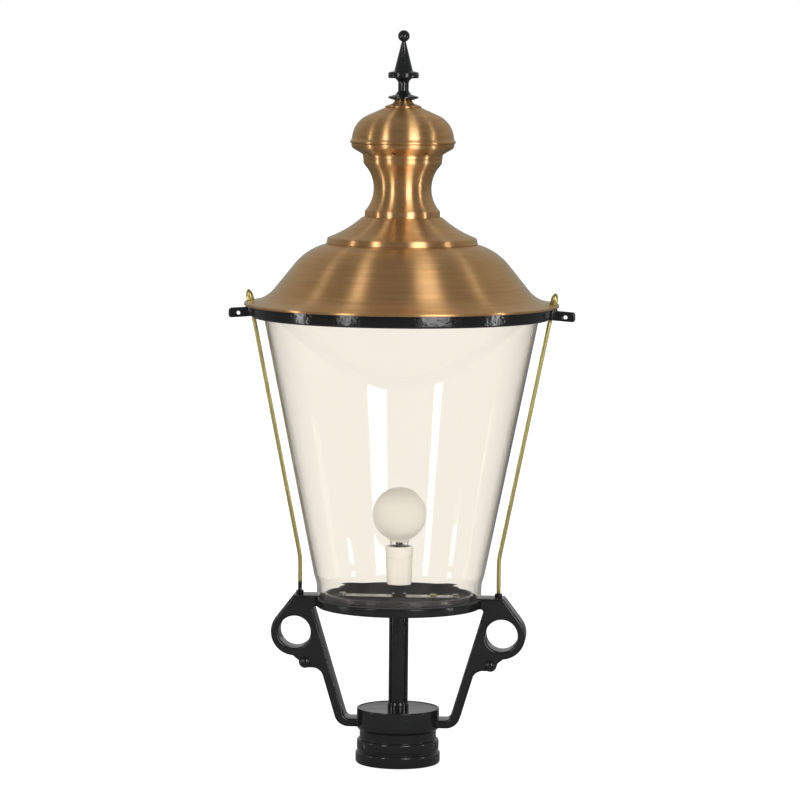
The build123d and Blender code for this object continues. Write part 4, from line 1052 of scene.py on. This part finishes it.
copper, spun = surface(
    "brushed_copper",
    Metallic=1.0,
    Anisotropic=1.0,
    Anisotropic_Rotation=0.25,
    Coat_Weight=0.3,
    Coat_Roughness=0.2,
    Specular_Tint=(0.8, 0.85, 0.75, 1),
)
spot = spun.node("ShaderNodeTexCoord", output="Object")
spot_x, spot_y, spot_z = (spot.along(axis) for axis in range(3))
from_axis = (spot_x * spot_x + spot_y * spot_y) ** 0.5 + 0.001
along_wall = spot_z - from_axis * 0.8


def brushing(turns, lines):
    """Noise drawn out round the axis: a few clouds to a turn, many lines to a metre of wall."""
    way = spun.node(
        "ShaderNodeCombineXYZ",
        {},
        {0: spot_x / from_axis * turns, 1: spot_y / from_axis * turns, 2: along_wall * lines},
    )
    return grain(spun, 1.0, 2.0, way)


COPPER_DEEP = (0.66, 0.375, 0.152, 1)
COPPER_PALE = (0.79, 0.465, 0.2, 1)

fine = brushing(5, 2600)
broad = brushing(2.5, 160)
tone = (broad * 0.6 + fine * 0.4).between(0.3, 0.7)
spun.feed(
    {
        "Base Color": tone.blend(COPPER_DEEP, COPPER_PALE),
        "Roughness": fine * 0.1 + broad * 0.08 + 0.28,
        "Normal": dented(fine, 0.00002),
    }
)


def wide_bend(before, corner, after, share):
    """The radius of the arc that takes a share of the shorter of the two runs at a corner."""
    runs = [np.subtract(point, corner) for point in (before, after)]
    lengths = [np.linalg.norm(run) for run in runs]
    return share * min(lengths) * tan(acos(runs[0] @ runs[1] / (lengths[0] * lengths[1])) / 2)


BEAD_R = 1.6
BRIM_W = 30.9
CROWN_R = 97.9
CROWN_MOUTH_R = 86.0
SHOULDER_AT = 0.28
SHOULDER_RISE = 73.8

rim_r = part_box("hood")[1].x / MM
rim_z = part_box("hood")[0].z / MM + 2 * BEAD_R
crown_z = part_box("hood")[1].z / MM
crown = (CROWN_R, crown_z)
brim = (rim_r - BRIM_W, rim_z + slope * BRIM_W)
bell_shoulder = (CROWN_R + SHOULDER_AT * (rim_r - CROWN_R), rim_z + SHOULDER_RISE)
hood_outline = rounded(
    [
        (rim_r, rim_z, 0),
        (*brim, 48),
        (*bell_shoulder, wide_bend(brim, bell_shoulder, crown, 0.75)),
        (*crown, 3),
        (CROWN_MOUTH_R, crown_z, 0),
    ],
    steps=20,
)
bead = ring_points((rim_r - BEAD_R, rim_z - BEAD_R), BEAD_R, 0, 2 * pi, 17)[:-1]
bead = turned(bead, turns=384)
hood = as_object("copper_bell", [turned(walled(hood_outline, COPPER_T), turns=384), bead])
finished(hood, copper, "hood", "copper", "hood", fold=60)

SKIRT_H = 36.4
SKIRT_R = 104.0

neck_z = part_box("hood_skirt")[1].z / MM
skirt_z = neck_z - SKIRT_H
skirt_rim = (SKIRT_R - 1.8, skirt_z + 8)
skirt_waist = (77.02, skirt_z + 18.4)
skirt_top = (54.5, neck_z)
skirt_outline = rounded(
    [
        (SKIRT_R, skirt_z, 0),
        (*skirt_rim, 3),
        (*skirt_waist, wide_bend(skirt_rim, skirt_waist, skirt_top, 0.72)),
        (*skirt_top, 2),
        (38, neck_z, 0),
    ],
    steps=14,
)
skirt = as_object("copper_skirt", [turned(walled(skirt_outline, COPPER_T), turns=256)])
finished(skirt, copper, "hood", "copper", "hood_skirt", fold=60)


def arc_through(first, middle, last, count):
    """Points on the circle through three points, from the first to the last."""
    a, b, c = (complex(*point) for point in (first, middle, last))
    w = (c - a) / (b - a)
    centre = a + (b - a) * (w - abs(w) ** 2) / (w - w.conjugate())
    turns = np.unwrap([np.angle(point - centre) for point in (a, b, c)])
    return ring_points((centre.real, centre.imag), abs(a - centre), turns[0], turns[2], count)


LOW_BAND_R = 51.7
HIGH_BAND_R = 53.9

vent_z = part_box("vent_neck")[1].z / MM
waist = arc_through((49.4, neck_z + 10.8), (39.7, neck_z + 39.7), (48.1, vent_z - 13.2), 40)
neck_outline = np.vstack(
    [
        [(LOW_BAND_R, neck_z), (LOW_BAND_R, neck_z + 7.9), (LOW_BAND_R - 0.2, neck_z + 8.6)],
        waist,
        [(49.3, vent_z - 12), (HIGH_BAND_R - 0.5, vent_z - 6.2)],
        [(HIGH_BAND_R, vent_z - 4.9), (HIGH_BAND_R, vent_z)],
    ]
)
neck = as_object("copper_neck", [turned(walled(neck_outline, COPPER_T), turns=256)])
finished(neck, copper, "hood", "copper", "vent_neck", fold=30)

DISH_FOOT_R, DISH_FOOT_H = 54.6, 6.0
FLARE_R, FLARE_H = 69.6, 15.0

dome_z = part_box("vent_collar")[1].z / MM
dish_outline = rounded(
    [
        (44, vent_z, 0),
        (DISH_FOOT_R, vent_z, 1.5),
        (DISH_FOOT_R, vent_z + DISH_FOOT_H, 3),
        (FLARE_R, vent_z + FLARE_H, 5),
        (71, dome_z, 1.5),
        (64, dome_z, 0),
    ],
    steps=10,
)
dish = as_object("copper_dish", [turned(walled(dish_outline, COPPER_T), turns=256)])

VENT_HOLES = 8
VENT_START = -7.5
VENT_HOLE_R = 3.3
VENT_HOLE_AT = (58.8, 8.5)

flare_tilt = atan2(FLARE_R - DISH_FOOT_R, FLARE_H - DISH_FOOT_H)
vent_drill = drill(VENT_HOLE_R, depth=8.0, clear=8.0)
vent_places = [
    Matrix.Rotation(radians(VENT_START + 360 / VENT_HOLES * i), 4, "Z")
    @ Matrix.Translation((0, -VENT_HOLE_AT[0], vent_z + VENT_HOLE_AT[1]))
    @ Matrix.Rotation(pi / 2 + flare_tilt, 4, "X")
    for i in range(VENT_HOLES)
]
cut(dish, [placed(vent_drill, place) for place in vent_places])
finished(dish, copper, "hood", "copper", "vent_collar", fold=60)

DOME_LIP_R = 72.3
DOME_LIP_IN = 7.0
STUD_HOLE_R = 4.25

cap_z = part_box("vent_dome")[1].z / MM
dome_outline = rounded(
    [
        (DOME_LIP_R - DOME_LIP_IN, dome_z, 0),
        (DOME_LIP_R, dome_z, 1.3),
        (DOME_LIP_R, dome_z + 2.6, 1.3),
        (70, dome_z + 6, 1.5),
        (66.8, dome_z + 30, 36),
        (24, cap_z, 3),
        (STUD_HOLE_R, cap_z, 0),
    ],
    steps=16,
)
dome_cap = as_object("copper_dome", [turned(walled(dome_outline, COPPER_T), turns=256)])
finished(dome_cap, copper, "hood", "copper", "vent_dome", fold=60)

SEAT_R = 24.8
SEAT_TOP_R = 11.5

seat_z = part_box("finial_seat")[1].z / MM
finial_seat_profile = rounded(
    [
        (STUD_HOLE_R, cap_z, 0),
        (SEAT_R, cap_z, 0.5),
        (SEAT_R, cap_z + 1.6, 1),
        (14.5, cap_z + 5.4, 4),
        (SEAT_TOP_R, seat_z, 0.5),
        (STUD_HOLE_R, seat_z, 0),
    ]
)
finial_seat = as_object("copper_seat", [turned(finial_seat_profile, turns=128)])
finished(finial_seat, copper, "hood", "copper", "finial_seat")


# Finial. A spire turned from bar and painted black: a dished foot, a spool, a collar, a long
# cone and a ball. It screws down on the stud that holds the copper stack together.

BALL_R = 8.0
DISH_R = 20.75
SPOOL_R = 7.3
COLLAR_R = 21.0
CONE_R = 12.8
TIP_R = 2.8

finial_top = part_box("finial")[1].z / MM
ball = ring_points((0, finial_top - BALL_R), BALL_R, asin(-0.92), pi / 2, 32)
finial_corners = [
    (0, 0, 0),
    (12, 0, 0),
    (DISH_R, 3, 0.8),
    (DISH_R, 5, 0.8),
    (10.8, 8, 2),
    (SPOOL_R, 13, 2),
    (SPOOL_R, 25.5, 4),
    (11.5, 30, 0.4),
    (COLLAR_R, 30, 2.5),
    (COLLAR_R, 38, 2.5),
    (CONE_R, 40, 1),
    (TIP_R, 80, 0),
    (TIP_R, finial_top - seat_z - BALL_R, 0),
]
spire = np.vstack([rounded(finial_corners) + (0, seat_z), ball])
finial = as_object("spire", [turned(spire, turns=128)])
finished(finial, black, "hood", "black_casting", "finial", fold=50)


# Washers and domed nuts. Brass washers on the hood's brim under brass nuts with a long dome,
# screwed on the ends of the rods.

WASHER_R = 6.0
WASHER_IN = 3.25
WASHER_LOW, WASHER_HIGH = 0.3, 1.5
ACORN_LIFT = 1.55
ACORN_H = 14
DOME_R = 4.9
NUT_BORE_R = THREAD_R + SLIP
NUT_BORE_H = 10

washer_profile = rounded(
    [
        (WASHER_IN, WASHER_LOW, 0),
        (WASHER_R, WASHER_LOW, 0.3),
        (WASHER_R, WASHER_HIGH, 0.3),
        (WASHER_IN, WASHER_HIGH, 0),
    ]
)
acorn_profile = rounded(
    [
        (NUT_BORE_R, 0, 0),
        (5.1, 0, 0),
        (M6_CORNER, 0.6, 0),
        (M6_CORNER, 4.4, 0),
        (DOME_R, M6_NUT_H, 0),
        (DOME_R, 9.5, 12),
        (1.2, ACORN_H, 1.8),
        (0, ACORN_H, 0),
        (0, NUT_BORE_H, 0),
        (NUT_BORE_R, NUT_BORE_H, 0),
    ]
)
acorn_profile = acorn_profile + (0, ACORN_LIFT)
washer_form = placed(turned(washer_profile, turns=64), to_seat)
acorn_form = placed(turned(acorn_profile, turns=72, flats=M6_FLATS), to_seat)
sides = (("right", washer_form, acorn_form), ("left", mirrored(washer_form), mirrored(acorn_form)))
for side, washer, acorn in sides:
    made = as_object("brim_washer_" + side, [washer])
    finished(made, brass, "washer_" + side, "brass", "rod_washer_" + side)
    made = as_object("domed_nut_" + side, [acorn])
    finished(made, brass, "acorn_" + side, "brass", "acorn_nut_" + side, fold=25)
